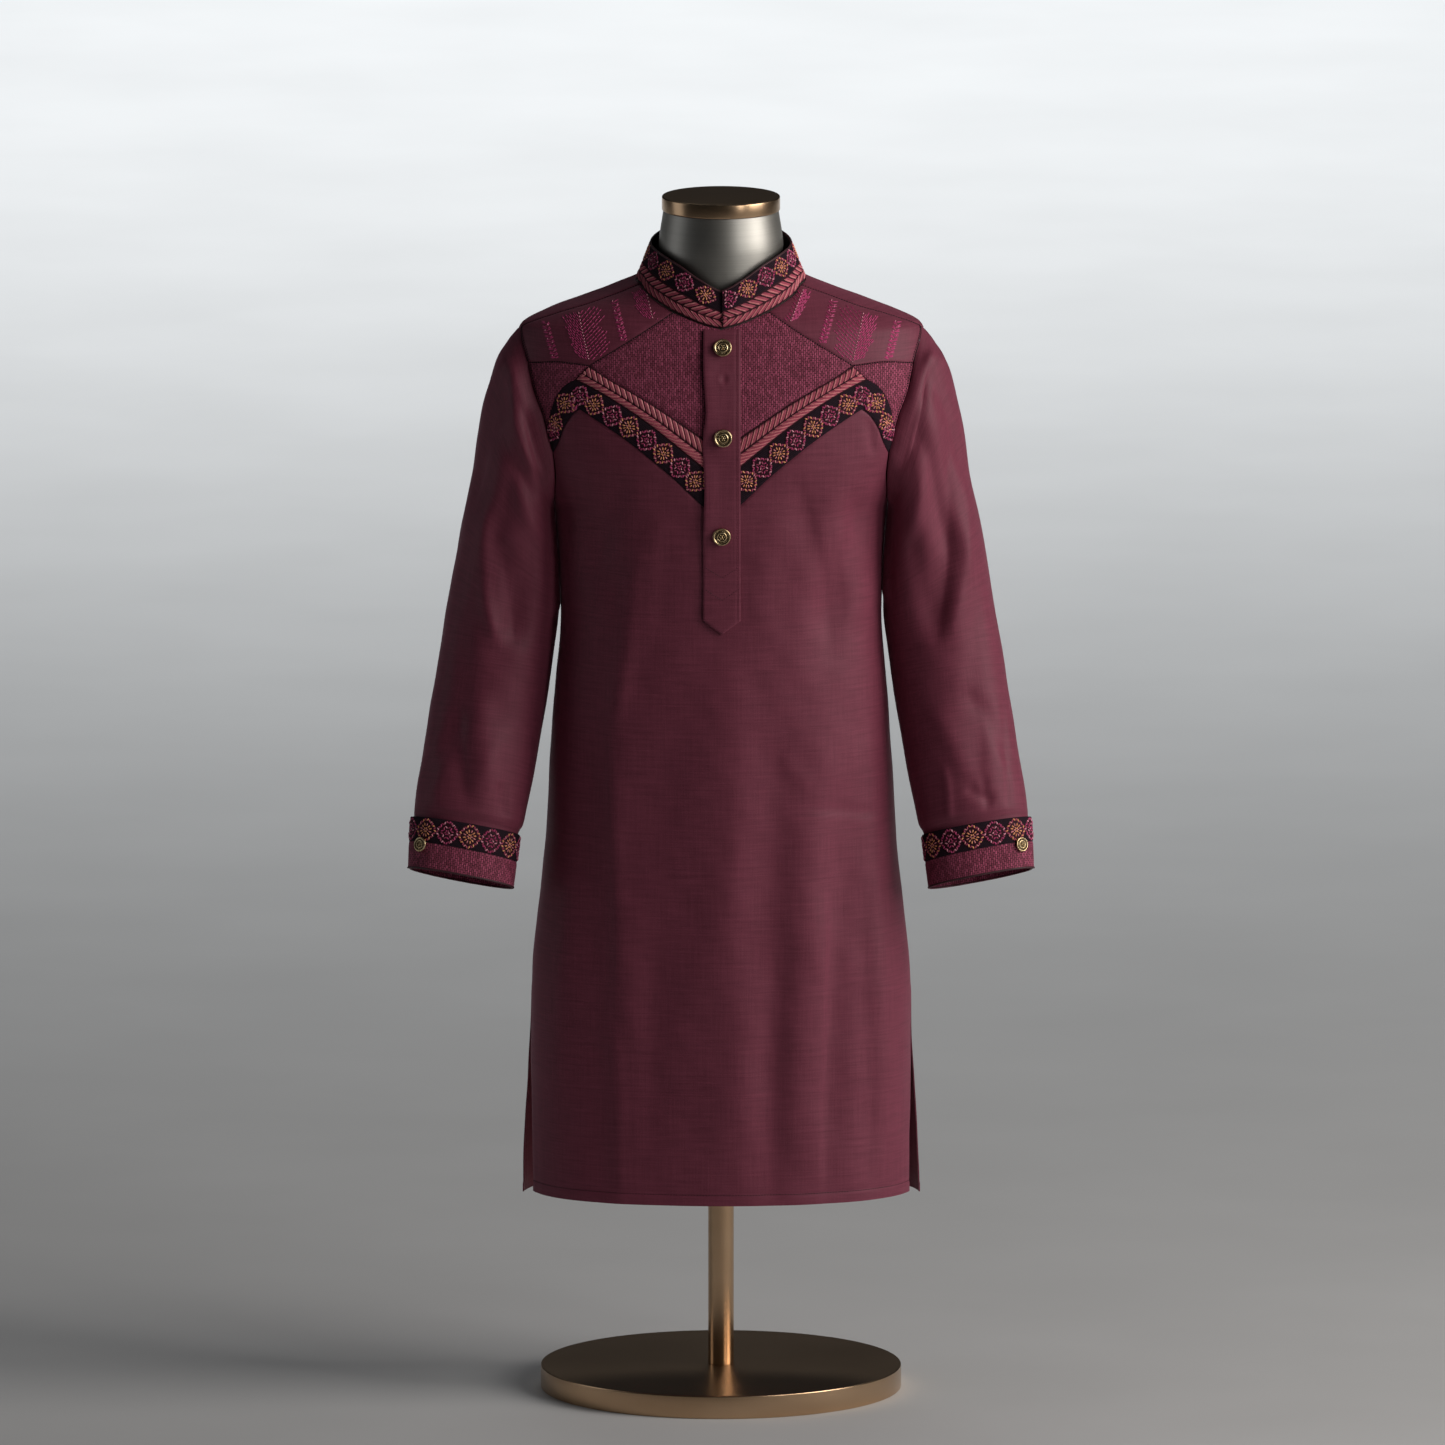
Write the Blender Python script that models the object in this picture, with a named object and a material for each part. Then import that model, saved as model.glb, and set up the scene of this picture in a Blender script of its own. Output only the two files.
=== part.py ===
"""Kurta tunic on a dress form stand: the pieces at their real size, in metres.

+Z is up, the wearer faces -Y and +X is to the viewer's right. The origin is the
centre of the base's underside. A point of the body's cloth is named by its angle
round the body (0 at the front centre, 90 at the +X side, 180 at the back centre)
and its height.
"""

import math

import bmesh
import bpy
import numpy as np

MM = 0.001
DEGREE = math.pi / 180

# Cloth and trim
WALL = 1.5 * MM
SEAM_GAP = 0.3 * MM
TRIM_PROUD = 0.8 * MM
PLACKET_PROUD = 1.6 * MM
PLACKET_WALL = 1.4 * MM
BODY_CLEAR = 1.4 * MM

# Heights that set the garment's proportions
HEM = 213 * MM
BACK_HEM = 206 * MM
SLIT_TOP = 423 * MM
ARMPIT = 940 * MM
BACK_NECK = 1193 * MM
BACK_TIP_LEVEL = 1150 * MM

# Stand
BASE_RADIUS = 189.5 * MM
BASE_HEIGHT = 24.5 * MM
BASE_BEVEL = 1.2 * MM
POLE_RADIUS = 13.5 * MM
POLE_TOP = 620 * MM
FORM_BOTTOM = 520 * MM
NECK_TOP = 1254 * MM
CAP_RADIUS = 62 * MM
CAP_TOP = 1269.5 * MM
CAP_BEVEL = 1.5 * MM
SEAT_GAP = 0.3 * MM

# Body cloth, in mm: height, half width, front depth, back depth
BODY_SECTIONS = (
    (200, 199.5, 112, 116),
    (423, 199, 110, 112),
    (591, 184, 108, 107),
    (715, 177, 107, 103),
    (830, 168.5, 107, 101),
    (940, 174.5, 113, 108),
    (970, 186, 115, 110),
    (1000, 198.5, 117, 113),
    (1040, 212, 115, 114),
    (1080, 219, 106, 111),
    (1110, 218, 96, 105),
    (1133, 210.5, 87, 99),
    (1147, 186, 79, 93),
    (1157, 160, 70, 89),
    (1171, 122, 53, 81),
    (1186, 86.5, 34, 77.5),
    (1196, 76, 26, 73),
)
BODY_SQUARENESS = ((1060, 2.25), (1133, 2.0))

# The dress form under the cloth: its neck in mm (height, radius), its arm ends in mm
# (height, half width), and how much smaller than the cloth it is in mm (height, by)
FORM_NECK = ((500, 50), (1100, 56), (1160, 62.5), (1190, 65), (1215, 65.4), (1254, 60.6))
FORM_ARM_ENDS = ((500, 190), (940, 168), (1040, 172), (1100, 180), (1133, 190), (1200, 190))
FORM_INSETS = ((500, 8), (940, 9), (1080, 6), (1110, 2.6), (1133, 1.6), (1200, 1.5))
FORM_DROP = 2.2 * MM
FORM_HEIGHTS = (
    520, 600, 680, 760, 830, 890, 940, 980, 1020, 1055, 1085, 1105, 1120, 1130, 1138,
    1146, 1154, 1162, 1170, 1177, 1182, 1187, 1193, 1202, 1225, 1254,
)
FORM_SIDES = 32
FORM_BLEND = 22
FORM_ARM_BLEND = 12
FORM_SIDE_CROWD = 1.5
FORM_SHOULDER_TOP = 1190 * MM
FORM_SHOULDER_FADE = 12 * MM

# Seams of the +X half front, in mm across and up
NECK_FRONT = ((0, 1141), (22, 1146.5), (50, 1157))
NECK_SIDE = ((50, 1157), (66, 1165), (78, 1172))
YOKE_CORNER = (138, 1102)
YOKE_RISE = (YOKE_CORNER, (96, 1128), (50, 1157))
YOKE_SIDE = (YOKE_CORNER, (171, 1103.5))
BRAID_TOP = ((0, 1019), (21, 1032.5), (63, 1060), (91, 1076), (118, 1090), YOKE_CORNER)
BRAID_LOW = ((0, 984), (22, 1001.5), (66, 1037), (94.5, 1057), (126, 1075), (153, 1087))
BRAID_END = (YOKE_CORNER, (153, 1087))
LEG_OUTER = ((153, 1087), (165, 1078.5), (174.5, 1063), (179.5, 1046))
BAND_LOW = ((0, 940), (24, 963), (50, 988), (74, 1008), (99, 1027), (127, 1045), (148, 1057.5))
LEG_INNER = ((148, 1057.5), (157, 1049), (165, 1035.5), (170, 1021))
BRAID_STEPS = 8
YOKE_RISE_STEPS = 5
YOKE_SIDE_STEPS = 3
ARMHOLE_YOKE_STEPS = 3
ARMHOLE_SIDE_STEPS = 4
LEG_STEPS = 3
ARMHOLE_LOWER_STEPS = 5
FRONT_ROWS = 21
BACK_SKIRT_ROWS = 17
BACK_COLUMNS = 11

# The front's rows lie level at the hem and bend to the armholes from this share of
# the height on; their points crowd towards the side seams by the power
FRONT_BEND_START = 0.55
FRONT_BEND_LEAST = 0.25
FRONT_CROWD_POWER = 1.25
FRONT_CROWD_START = 0.14
FRONT_CROWD_RUN = 0.72

# Shoulder seam and armhole, as angles in degrees and heights in mm
SHOULDER_SEAM = (
    (58.1, 1179.7), (62.4, 1168), (66, 1158.5), (70.5, 1151), (74.5, 1144.5), (79, 1138),
    (84, 1132.5),
)
ARMHOLE_YOKE = ((67, 1099), (70.5, 1111), (76, 1122), (84, 1132.5))
ARMHOLE_SIDE = ((58.5, 1031), (59.3, 1048), (61.3, 1064.5), (64, 1082), (67, 1099))
ARMHOLE_BAND = ((59.5, 1007), (58.5, 1031))
ARMHOLE_LOWER = ((59.5, 1007), (61.5, 993.5), (64.5, 980), (69, 966.5), (76, 953.5), (90, 940))
ARMHOLE_BACK = (
    (90, 940), (100, 944.5), (111, 955), (119.5, 974), (124, 996), (125.4, 1019.5),
    (124.3, 1043), (121, 1066), (116.5, 1087), (109.5, 1106), (100, 1121), (91.5, 1129), (84, 1132.5),
)
ARMHOLE_BACK_STEPS = 12
SHOULDER_STEPS = YOKE_RISE_STEPS + YOKE_SIDE_STEPS

# How far the skirt's edges stand open at the hem, in degrees and mm
FRONT_SLIT_TURN = 9.5
BACK_SLIT_TURN = 4
BACK_SLIT_FLARE = 9 * MM

# Placket, in mm across and up
PLACKET_LEFT = -18.5
PLACKET_RIGHT = 20.5
PLACKET_TIP = 821
PLACKET_SHOULDER = 836
PLACKET_TOP = 1139.6
PLACKET_CORNER_RISE = 1.15
PLACKET_ROWS = 16

# Buttons: height, place across and diameter, in mm
PLACKET_BUTTONS = (("button_1", 1122, 1.8), ("button_2", 1031.5, 2.2), ("button_3", 927, 0.8))
BUTTON_DIAMETER = 19 * MM
CUFF_BUTTON_DIAMETER = 15.5 * MM
BUTTON_SIDES = 16
BUTTON_SEAT = 0.45 * MM

# Collar, in mm: angle, upper edge's radius and height; its lower edge is the neckline
COLLAR_SECTIONS = (
    (0, 73.0, 1180),
    (16, 73.0, 1190),
    (37, 73.5, 1205),
    (62, 74.0, 1215),
    (90, 74.0, 1220),
    (120, 73.5, 1226),
    (150, 73.5, 1232),
    (180, 73.5, 1235),
)
COLLAR_GAP = 0.8 * MM
COLLAR_SPLIT = 0.47
COLLAR_STEPS = 36
COLLAR_END = 1
COLLAR_OVERLAP = 8
COLLAR_BLEND = 16
COLLAR_LIFT = 2.1 * MM

# Sleeve rings, in mm: outer edge across and up, inner edge across and up, axis
# forward or back, half depth
SLEEVE_RINGS = (
    (224, 1114, 176, 934, 1, 71),
    (237, 1091, 175.5, 924, 1, 69),
    (252, 1034, 173.5, 902, 2, 66),
    (262, 972, 172, 876, 4, 64),
    (272, 921, 170.5, 850, 5, 62),
    (281.5, 868, 170.5, 822, 5, 60),
    (291, 812, 175, 787, 2, 59),
    (300, 754, 182, 737, -4, 58),
    (307, 716, 189, 698, -11, 56),
    (313, 678, 196, 658, -20, 54),
    (318.5, 646, 203, 626, -28, 50),
    (321.5, 625, 207.5, 606, -33, 46.5),
)
CUFF_RINGS = (
    (324.5, 614, 210.5, 594.5, -36.3, 43.5),
    (326, 589, 214, 567, -43.5, 42),
    (327, 562, 217.5, 541, -52, 40.5),
)
SLEEVE_SQUARENESS = 2.1
SLEEVE_HEAD_DEPTH = 70 * MM
SLEEVE_EVEN_RING = 6
ARM_TILT = 15 * DEGREE
ARM_TILT_TOP = 900 * MM
ARM_TILT_RUN = 200 * MM

# Where the sleeve's seam leaves the body's own surface, under the arm
UNDERARM_TOP = 1000 * MM
UNDERARM_RUN = 55 * MM
UNDERARM_CLEAR = 0.84 * MM

CUFF_TUCK = 0.35
CUFF_CLEAR = 0.8 * MM
CUFF_LAP_START = 48
CUFF_LAP_END = 5
CUFF_LAP_BLEND = 22
CUFF_STEPS = 28
CUFF_BUTTON_ANGLE = 41
CUFF_BUTTON_LEVEL = 1.1

# The largest folds of the body, in mm: side of the body (1 front, -1 back),
# start across and up, end across and up, depth (below 0 is a trough), half width
BODY_FOLDS = (
    (1, 158, 985, 100, 800, -3.4, 24),
    (1, 134, 1000, 84, 850, 2.6, 24),
    (1, 132, 870, 112, 775, -2.2, 17),
    (1, 106, 760, 101, 430, 2.4, 24),
    (1, 128, 640, 110, 230, -4.5, 26),
    (1, 92, 600, 78, 230, 3.0, 30),
    (1, 12, 800, 4, 225, -3.0, 26),
    (1, 38, 790, 30, 300, 2.0, 22),
    (1, 160, 690, 176, 260, 3.0, 20),
    (1, -100, 850, -118, 540, 2.4, 24),
    (1, -60, 700, -66, 230, -3.2, 30),
    (1, -128, 620, -122, 230, -3.6, 24),
    (1, -160, 700, -176, 260, 2.6, 20),
    (1, -156, 985, -112, 860, -2.8, 22),
    (-1, 60, 1000, 34, 760, -3.2, 30),
    (-1, -72, 990, -40, 740, -2.8, 28),
    (-1, 112, 860, 126, 230, 3.4, 28),
    (-1, 52, 700, 60, 225, -4.2, 30),
    (-1, -14, 640, -8, 225, 3.2, 30),
    (-1, -84, 720, -92, 225, -4.0, 28),
    (-1, -140, 700, -150, 240, 3.0, 24),
)

# The sleeves' largest folds: angle and ring at the start and at the end, depth
# in mm, half width in degrees
SLEEVE_FOLDS = (
    (62, 0.6, 20, 4.2, -6.0, 17),
    (40, 0.4, 2, 2.6, 2.5, 14),
    (96, 1.2, 58, 5.6, -4.0, 16),
    (76, 2.0, 44, 6.4, 3.0, 13),
    (120, 3.0, 92, 7.2, -3.0, 15),
    (40, 5.2, 70, 8.4, -2.4, 16),
    (70, 8.2, 30, 10.6, -2.6, 15),
    (110, 8.6, 84, 10.8, 2.0, 13),
    (-60, 0.8, -24, 4.4, -5.0, 18),
    (-96, 2.0, -64, 6.0, -3.6, 17),
    (-120, 5.0, -60, 7.6, 2.8, 18),
    (-40, 7.0, -74, 10.4, -3.0, 17),
)

# The other sleeve has the same folds, this much of their depth and this much later
LEFT_SLEEVE_FOLDS = (0.75, 0.5)

# A fold's depth at its ends as a share, and how steeply each kind of fold falls off
FOLD_END = 0.35
BODY_FOLD_FALL = 1.6
SLEEVE_FOLD_FALL = 1.4

# The sleeve lies plain for this many degrees about its inner edge, then blends
SLEEVE_PLAIN = 25
SLEEVE_PLAIN_BLEND = 40

COLOURS = {
    "cloth": ((0.19, 0.045, 0.075), 0.6, 0.0),
    "jacquard": ((0.14, 0.04, 0.065), 0.75, 0.0),
    "braid": ((0.42, 0.13, 0.17), 0.6, 0.0),
    "floral": ((0.09, 0.022, 0.04), 0.75, 0.0),
    "brass": ((0.42, 0.3, 0.13), 0.35, 1.0),
    "steel": ((0.55, 0.54, 0.5), 0.3, 1.0),
    "bronze": ((0.2, 0.12, 0.07), 0.3, 1.0),
}


def smooth_curve(rows, column, scale=MM):
    """A smooth function of height through one column, with no overshoot."""
    at = [row[0] * MM for row in rows]
    values = [row[column] * scale for row in rows]
    steps = [b - a for a, b in zip(at, at[1:])]
    rises = [(b - a) / h for a, b, h in zip(values, values[1:], steps)]
    slopes = [rises[0]]
    for (h0, h1), (d0, d1) in zip(zip(steps, steps[1:]), zip(rises, rises[1:])):
        if d0 * d1 <= 0:
            slopes.append(0.0)
        else:
            w0, w1 = 2 * h1 + h0, h1 + 2 * h0
            slopes.append((w0 + w1) / (w0 / d0 + w1 / d1))
    slopes.append(rises[-1])

    def value(height):
        height = min(max(height, at[0]), at[-1])
        k = max(i for i in range(len(steps)) if at[i] <= height)
        h = steps[k]
        s = (height - at[k]) / h
        return (
            (1 + 2 * s) * (1 - s) ** 2 * values[k]
            + s * (1 - s) ** 2 * h * slopes[k]
            + s * s * (3 - 2 * s) * values[k + 1]
            + s * s * (s - 1) * h * slopes[k + 1]
        )

    return value


half_width = smooth_curve(BODY_SECTIONS, 1)
front_depth = smooth_curve(BODY_SECTIONS, 2)
back_depth = smooth_curve(BODY_SECTIONS, 3)


def ease(t):
    t = min(max(t, 0.0), 1.0)
    return t * t * (3 - 2 * t)


def squareness(height):
    (low, square), (high, plain) = BODY_SQUARENESS
    return square + (plain - square) * ease((height / MM - low) / (high - low))


def oval_point(angle, height, half, front, back, power):
    """A point of a superellipse whose front and back depths differ."""
    s, c = math.sin(angle), math.cos(angle)
    x = half * math.copysign(abs(s) ** (2 / power), s)
    depth = front if c > 0 else back
    y = -depth * math.copysign(abs(c) ** (2 / power), c)
    return np.array((x, y, height))


def slit_flare(angle, height):
    """The back skirt's edges stand a little wider than the front's."""
    below = ease((SLIT_TOP - height) / (SLIT_TOP - BACK_HEM))
    return BACK_SLIT_FLARE * below if math.cos(angle) < 0 else 0.0


def plain_body(angle, height):
    half = half_width(height) + slit_flare(angle, height)
    return oval_point(
        angle, height, half, front_depth(height), back_depth(height), squareness(height)
    )


def body_normal(angle, height, step=2e-3):
    around = plain_body(angle + step, height) - plain_body(angle - step, height)
    up = plain_body(angle, height + step) - plain_body(angle, height - step)
    normal = np.cross(around, up)
    return normal / np.linalg.norm(normal)


def fold_height(x, z, fold):
    """How far one fold moves a point that lies across and up from it."""
    _, x0, z0, x1, z1, depth, width = fold
    a, b = np.array((x0, z0)) * MM, np.array((x1, z1)) * MM
    run = b - a
    along = float(np.dot(np.array((x, z)) - a, run) / np.dot(run, run))
    t = min(max(along, 0.0), 1.0)
    away = float(np.linalg.norm(np.array((x, z)) - (a + run * t))) / (width * MM)
    ends = FOLD_END + (1 - FOLD_END) * ease(min(t, 1 - t) * 4)
    return depth * MM * ends * math.exp(-away * away * BODY_FOLD_FALL)


def body_folds(angle, height):
    point = plain_body(angle, height)
    side = 1 if math.cos(angle) > 0 else -1
    total = sum(fold_height(point[0], height, f) for f in BODY_FOLDS if f[0] == side)
    edge = ease(abs(math.cos(angle)) / 0.35)
    return total * edge


def body_point(angle, height, proud=0.0):
    out = proud + body_folds(angle, height)
    return plain_body(angle, height) + body_normal(angle, height) * out


def angle_across(x, height):
    """The front angle at which the body's section is x across."""
    share = min(abs(x) / half_width(height), 1.0) ** (squareness(height) / 2)
    return math.copysign(math.asin(share), x)


def resample(points, steps):
    """Evenly spaced points on a smooth curve through the given ones."""
    points = [np.array(p, float) for p in points]
    ghost = [2 * points[0] - points[1]] + points + [2 * points[-1] - points[-2]]
    fine = [points[0]]
    for a, b, c, d in zip(ghost, ghost[1:], ghost[2:], ghost[3:]):
        for i in range(1, 13):
            t = i / 12
            fine.append(
                0.5 * (2 * b + (c - a) * t + (2 * a - 5 * b + 4 * c - d) * t * t
                       + (3 * b - 3 * c + d - a) * t ** 3)
            )
    lengths = [float(np.linalg.norm(b - a)) for a, b in zip(fine, fine[1:])]
    total, out, k, done = sum(lengths), [fine[0]], 0, 0.0
    for i in range(1, steps):
        target = total * i / steps
        while done + lengths[k] < target:
            done += lengths[k]
            k += 1
        out.append(fine[k] + (fine[k + 1] - fine[k]) * ((target - done) / lengths[k]))
    return out + [fine[-1]]


def seam(points, steps):
    """A front seam as (angle, height) pairs, from its points across and up."""
    return [
        (angle_across(x * MM, z * MM), z * MM) for x, z in resample(points, steps)
    ]


def turned_seam(points, steps):
    """A seam from its angles in degrees and heights in mm."""
    return [(a * DEGREE, z * MM) for a, z in resample(points, steps)]


def patch(bottom, top, left, right):
    """A Coons patch in angle and height: rows from bottom to top."""
    bottom, top = np.array(bottom), np.array(top)
    left, right = np.array(left), np.array(right)
    rows, columns = len(left) - 1, len(bottom) - 1
    grid = []
    for i in range(rows + 1):
        v = i / rows
        line = []
        for j in range(columns + 1):
            u = j / columns
            across = (1 - u) * left[i] + u * right[i]
            along = (1 - v) * bottom[j] + v * top[j]
            corners = (
                (1 - u) * (1 - v) * bottom[0] + u * (1 - v) * bottom[-1]
                + (1 - u) * v * top[0] + u * v * top[-1]
            )
            line.append(across + along - corners)
        grid.append(line)
    return grid


def unit(v):
    return v / np.linalg.norm(v)


def draw_in(points, amount=SEAM_GAP / 2):
    """Moves each edge of a grid of points inwards, square to the edge."""
    moved = points.copy()
    for flip in (False, True):
        source = points.transpose(1, 0, 2) if flip else points
        target = moved.transpose(1, 0, 2) if flip else moved
        for edge, inner in ((0, 1), (-1, -2)):
            line, inside = source[edge], source[inner]
            count = len(line)
            for j in range(count):
                along = unit(line[min(j + 1, count - 1)] - line[max(j - 1, 0)])
                inward = inside[j] - line[j]
                inward = inward - along * np.dot(inward, along)
                target[edge][j] += unit(inward) * amount
    return moved


def body_wall(grid, proud=0.0, wall=WALL, mirror=False):
    """The outer and inner points of a piece of the body's cloth."""
    sign = -1 if mirror else 1
    outer = np.array([[body_point(sign * a, z, proud) for a, z in row] for row in grid])
    normal = np.array([[body_normal(sign * a, z) for a, z in row] for row in grid])
    drawn = draw_in(outer)
    return drawn, drawn - normal * wall


def material(kind):
    colour, roughness, metallic = COLOURS[kind]
    made = bpy.data.materials.get(kind) or bpy.data.materials.new(kind)
    made.use_nodes = True
    shader = made.node_tree.nodes["Principled BSDF"]
    shader.inputs["Base Color"].default_value = (*colour, 1)
    shader.inputs["Roughness"].default_value = roughness
    shader.inputs["Metallic"].default_value = metallic
    return made


def new_object(name, mesh_data, kind, smooth=True):
    mesh = bpy.data.meshes.new(name)
    mesh_data.to_mesh(mesh)
    mesh_data.free()
    if smooth:
        mesh.shade_smooth()
        mesh.set_sharp_from_angle(angle=40 * DEGREE)
    mesh.materials.append(material(kind))
    made = bpy.data.objects.new(name, mesh)
    bpy.context.scene.collection.objects.link(made)
    return made


def closed_wall(name, outer, inner, kind, ring=False):
    """One closed solid between two grids of points, with its rim."""
    made = bmesh.new()
    rows, columns = outer.shape[:2]
    layers = [
        [[made.verts.new(point) for point in row] for row in layer]
        for layer in (outer, inner)
    ]

    def face(*corners):
        made.faces.new(corners)

    last = columns if ring else columns - 1
    for side, layer in enumerate(layers):
        for i in range(rows - 1):
            for j in range(last):
                k = (j + 1) % columns
                a, b, c, d = layer[i][j], layer[i][k], layer[i + 1][k], layer[i + 1][j]
                if side == 0:
                    face(a, b, c)
                    face(a, c, d)
                else:
                    face(c, b, a)
                    face(d, c, a)
    out, back = layers
    for j in range(last):
        k = (j + 1) % columns
        face(out[0][k], out[0][j], back[0][j], back[0][k])
        face(out[-1][j], out[-1][k], back[-1][k], back[-1][j])
    if not ring:
        for i in range(rows - 1):
            face(out[i][0], out[i + 1][0], back[i + 1][0], back[i][0])
            face(out[i + 1][-1], out[i][-1], back[i][-1], back[i + 1][-1])
    bmesh.ops.recalc_face_normals(made, faces=made.faces)
    return new_object(name, made, kind)


def turned(name, profile, sides, kind, centre=(0, 0, 0), axis=(0, 0, 1)):
    """A solid turned from (radius, height) pairs, from its bottom pole to its top."""
    made = bmesh.new()
    axis = unit(np.array(axis, float))
    helper = np.array((0, 0, 1.0)) if abs(axis[2]) < 0.9 else np.array((1.0, 0, 0))
    right = unit(np.cross(helper, axis))
    up = np.cross(axis, right)
    centre = np.array(centre, float)
    rings = []
    for radius, height in profile:
        if radius == 0:
            rings.append([made.verts.new(centre + axis * height)])
            continue
        ring = []
        for k in range(sides):
            turn = 2 * math.pi * k / sides
            offset = right * math.cos(turn) + up * math.sin(turn)
            ring.append(made.verts.new(centre + axis * height + offset * radius))
        rings.append(ring)
    for low, high in zip(rings, rings[1:]):
        for k in range(sides):
            n = (k + 1) % sides
            if len(low) == 1:
                made.faces.new((low[0], high[n], high[k]))
            elif len(high) == 1:
                made.faces.new((low[k], low[n], high[0]))
            else:
                made.faces.new((low[k], low[n], high[n], high[k]))
    bmesh.ops.recalc_face_normals(made, faces=made.faces)
    return new_object(name, made, kind)


def across_at(place):
    """How far across and up, in mm, a point given by its angle and height lies."""
    point = plain_body(place[0] * DEGREE, place[1] * MM) / MM
    return (point[0], place[1])


def front_seams():
    """Every seam of the +X half front, as (angle, height) pairs."""
    return {
        "neck_front": seam(NECK_FRONT, BRAID_STEPS),
        "neck_side": seam(NECK_SIDE + (across_at(SHOULDER_SEAM[0]),), ARMHOLE_YOKE_STEPS),
        "shoulder": turned_seam(SHOULDER_SEAM, SHOULDER_STEPS),
        "yoke_rise": seam(YOKE_RISE, YOKE_RISE_STEPS),
        "yoke_side": seam(YOKE_SIDE + (across_at(ARMHOLE_YOKE[0]),), YOKE_SIDE_STEPS),
        "armhole_yoke": turned_seam(ARMHOLE_YOKE, ARMHOLE_YOKE_STEPS),
        "armhole_side": turned_seam(ARMHOLE_SIDE, ARMHOLE_SIDE_STEPS),
        "armhole_band": turned_seam(ARMHOLE_BAND, 1),
        "armhole_lower": turned_seam(ARMHOLE_LOWER, ARMHOLE_LOWER_STEPS),
        "braid_top": seam(BRAID_TOP, BRAID_STEPS),
        "braid_low": seam(BRAID_LOW, BRAID_STEPS),
        "leg_outer": seam(LEG_OUTER + (across_at(ARMHOLE_SIDE[0]),), LEG_STEPS),
        "band_low": seam(BAND_LOW, BRAID_STEPS),
        "leg_inner": seam(LEG_INNER + (across_at(ARMHOLE_LOWER[0]),), LEG_STEPS),
    }


def back_armhole():
    """The back armhole from the armpit up to the shoulder's tip."""
    return turned_seam(ARMHOLE_BACK, ARMHOLE_BACK_STEPS)


def make_front_trims(seams):
    """The pieced half fronts: yoke, chest, braid, side panel and floral band."""
    lower_yoke = list(reversed(seams["yoke_side"])) + seams["yoke_rise"][1:]
    cf = [(0.0, seams["neck_front"][0][1] * (1 - t) + seams["braid_top"][0][1] * t)
          for t in (i / YOKE_RISE_STEPS for i in range(YOKE_RISE_STEPS, -1, -1))]
    braid_end = [seams["braid_low"][-1], seams["yoke_side"][0]]
    end_cut = seam(list(reversed(BRAID_END)), ARMHOLE_SIDE_STEPS)
    grids = {
        "yoke": (
            patch(
                lower_yoke,
                list(reversed(seams["shoulder"])),
                seams["armhole_yoke"],
                seams["neck_side"],
            ),
            0.0, "cloth",
        ),
        "chest": (
            patch(seams["braid_top"], seams["neck_front"], cf, seams["yoke_rise"]),
            0.0, "jacquard",
        ),
        "braid": (
            patch(
                seams["braid_low"], seams["braid_top"],
                [seams["braid_low"][0], seams["braid_top"][0]], braid_end,
            ),
            TRIM_PROUD, "braid",
        ),
        "side_panel": (
            patch(seams["leg_outer"], seams["yoke_side"], end_cut, seams["armhole_side"]),
            0.0, "jacquard",
        ),
        "band": (
            patch(
                seams["band_low"] + seams["leg_inner"][1:],
                seams["braid_low"] + seams["leg_outer"][1:],
                [seams["band_low"][0], seams["braid_low"][0]],
                seams["armhole_band"],
            ),
            TRIM_PROUD, "floral",
        ),
    }
    for side, mirror in (("right", False), ("left", True)):
        for name, (grid, proud, kind) in grids.items():
            outer, inner = body_wall(grid, proud, mirror=mirror)
            closed_wall(f"{name}_{side}", outer, inner, kind)


def make_front(seams):
    """The lower front: from the floral band down to the hem, across both halves."""
    half_top = seams["band_low"] + seams["leg_inner"][1:]
    half_top += seams["armhole_lower"][1:]
    top = [(-a, z) for a, z in reversed(half_top[1:])] + half_top
    rows = []
    for i in range(FRONT_ROWS + 1):
        v = i / FRONT_ROWS
        level = HEM + (ARMPIT - HEM) * v
        bend = ease((v - FRONT_BEND_START) / (1 - FRONT_BEND_START))
        bend = FRONT_BEND_LEAST + (1 - FRONT_BEND_LEAST) * bend
        even = 1 - ease((v - FRONT_CROWD_START) / FRONT_CROWD_RUN)
        opened = ease((SLIT_TOP - level) / (SLIT_TOP - HEM)) * FRONT_SLIT_TURN / 90
        row = []
        for angle, top_height in top:
            height = level + (top_height - ARMPIT) * v ** 2 * bend
            spread = angle + (front_spread(angle) - angle) * even
            row.append((spread * (1 - opened), height))
        rows.append(row)
    outer, inner = body_wall(rows)
    closed_wall("front", outer, inner, "cloth")


def front_spread(angle):
    """Columns that crowd at the armhole are spread out evenly towards the hem."""
    share = abs(angle) / (math.pi / 2)
    return math.copysign(math.pi / 2 * share ** FRONT_CROWD_POWER, angle)


def back_rise(share):
    """How much of its rise a back row has made on its way to the centre."""
    return math.sin(share * math.pi / 2)


def back_neck(seams):
    """The back neckline from the shoulder seam to the back centre."""
    angle, height = seams["neck_side"][-1]
    return [
        (angle + (math.pi - angle) * u, height + (BACK_NECK - height) * back_rise(u))
        for u in (j / BACK_COLUMNS for j in range(BACK_COLUMNS + 1))
    ]


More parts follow.
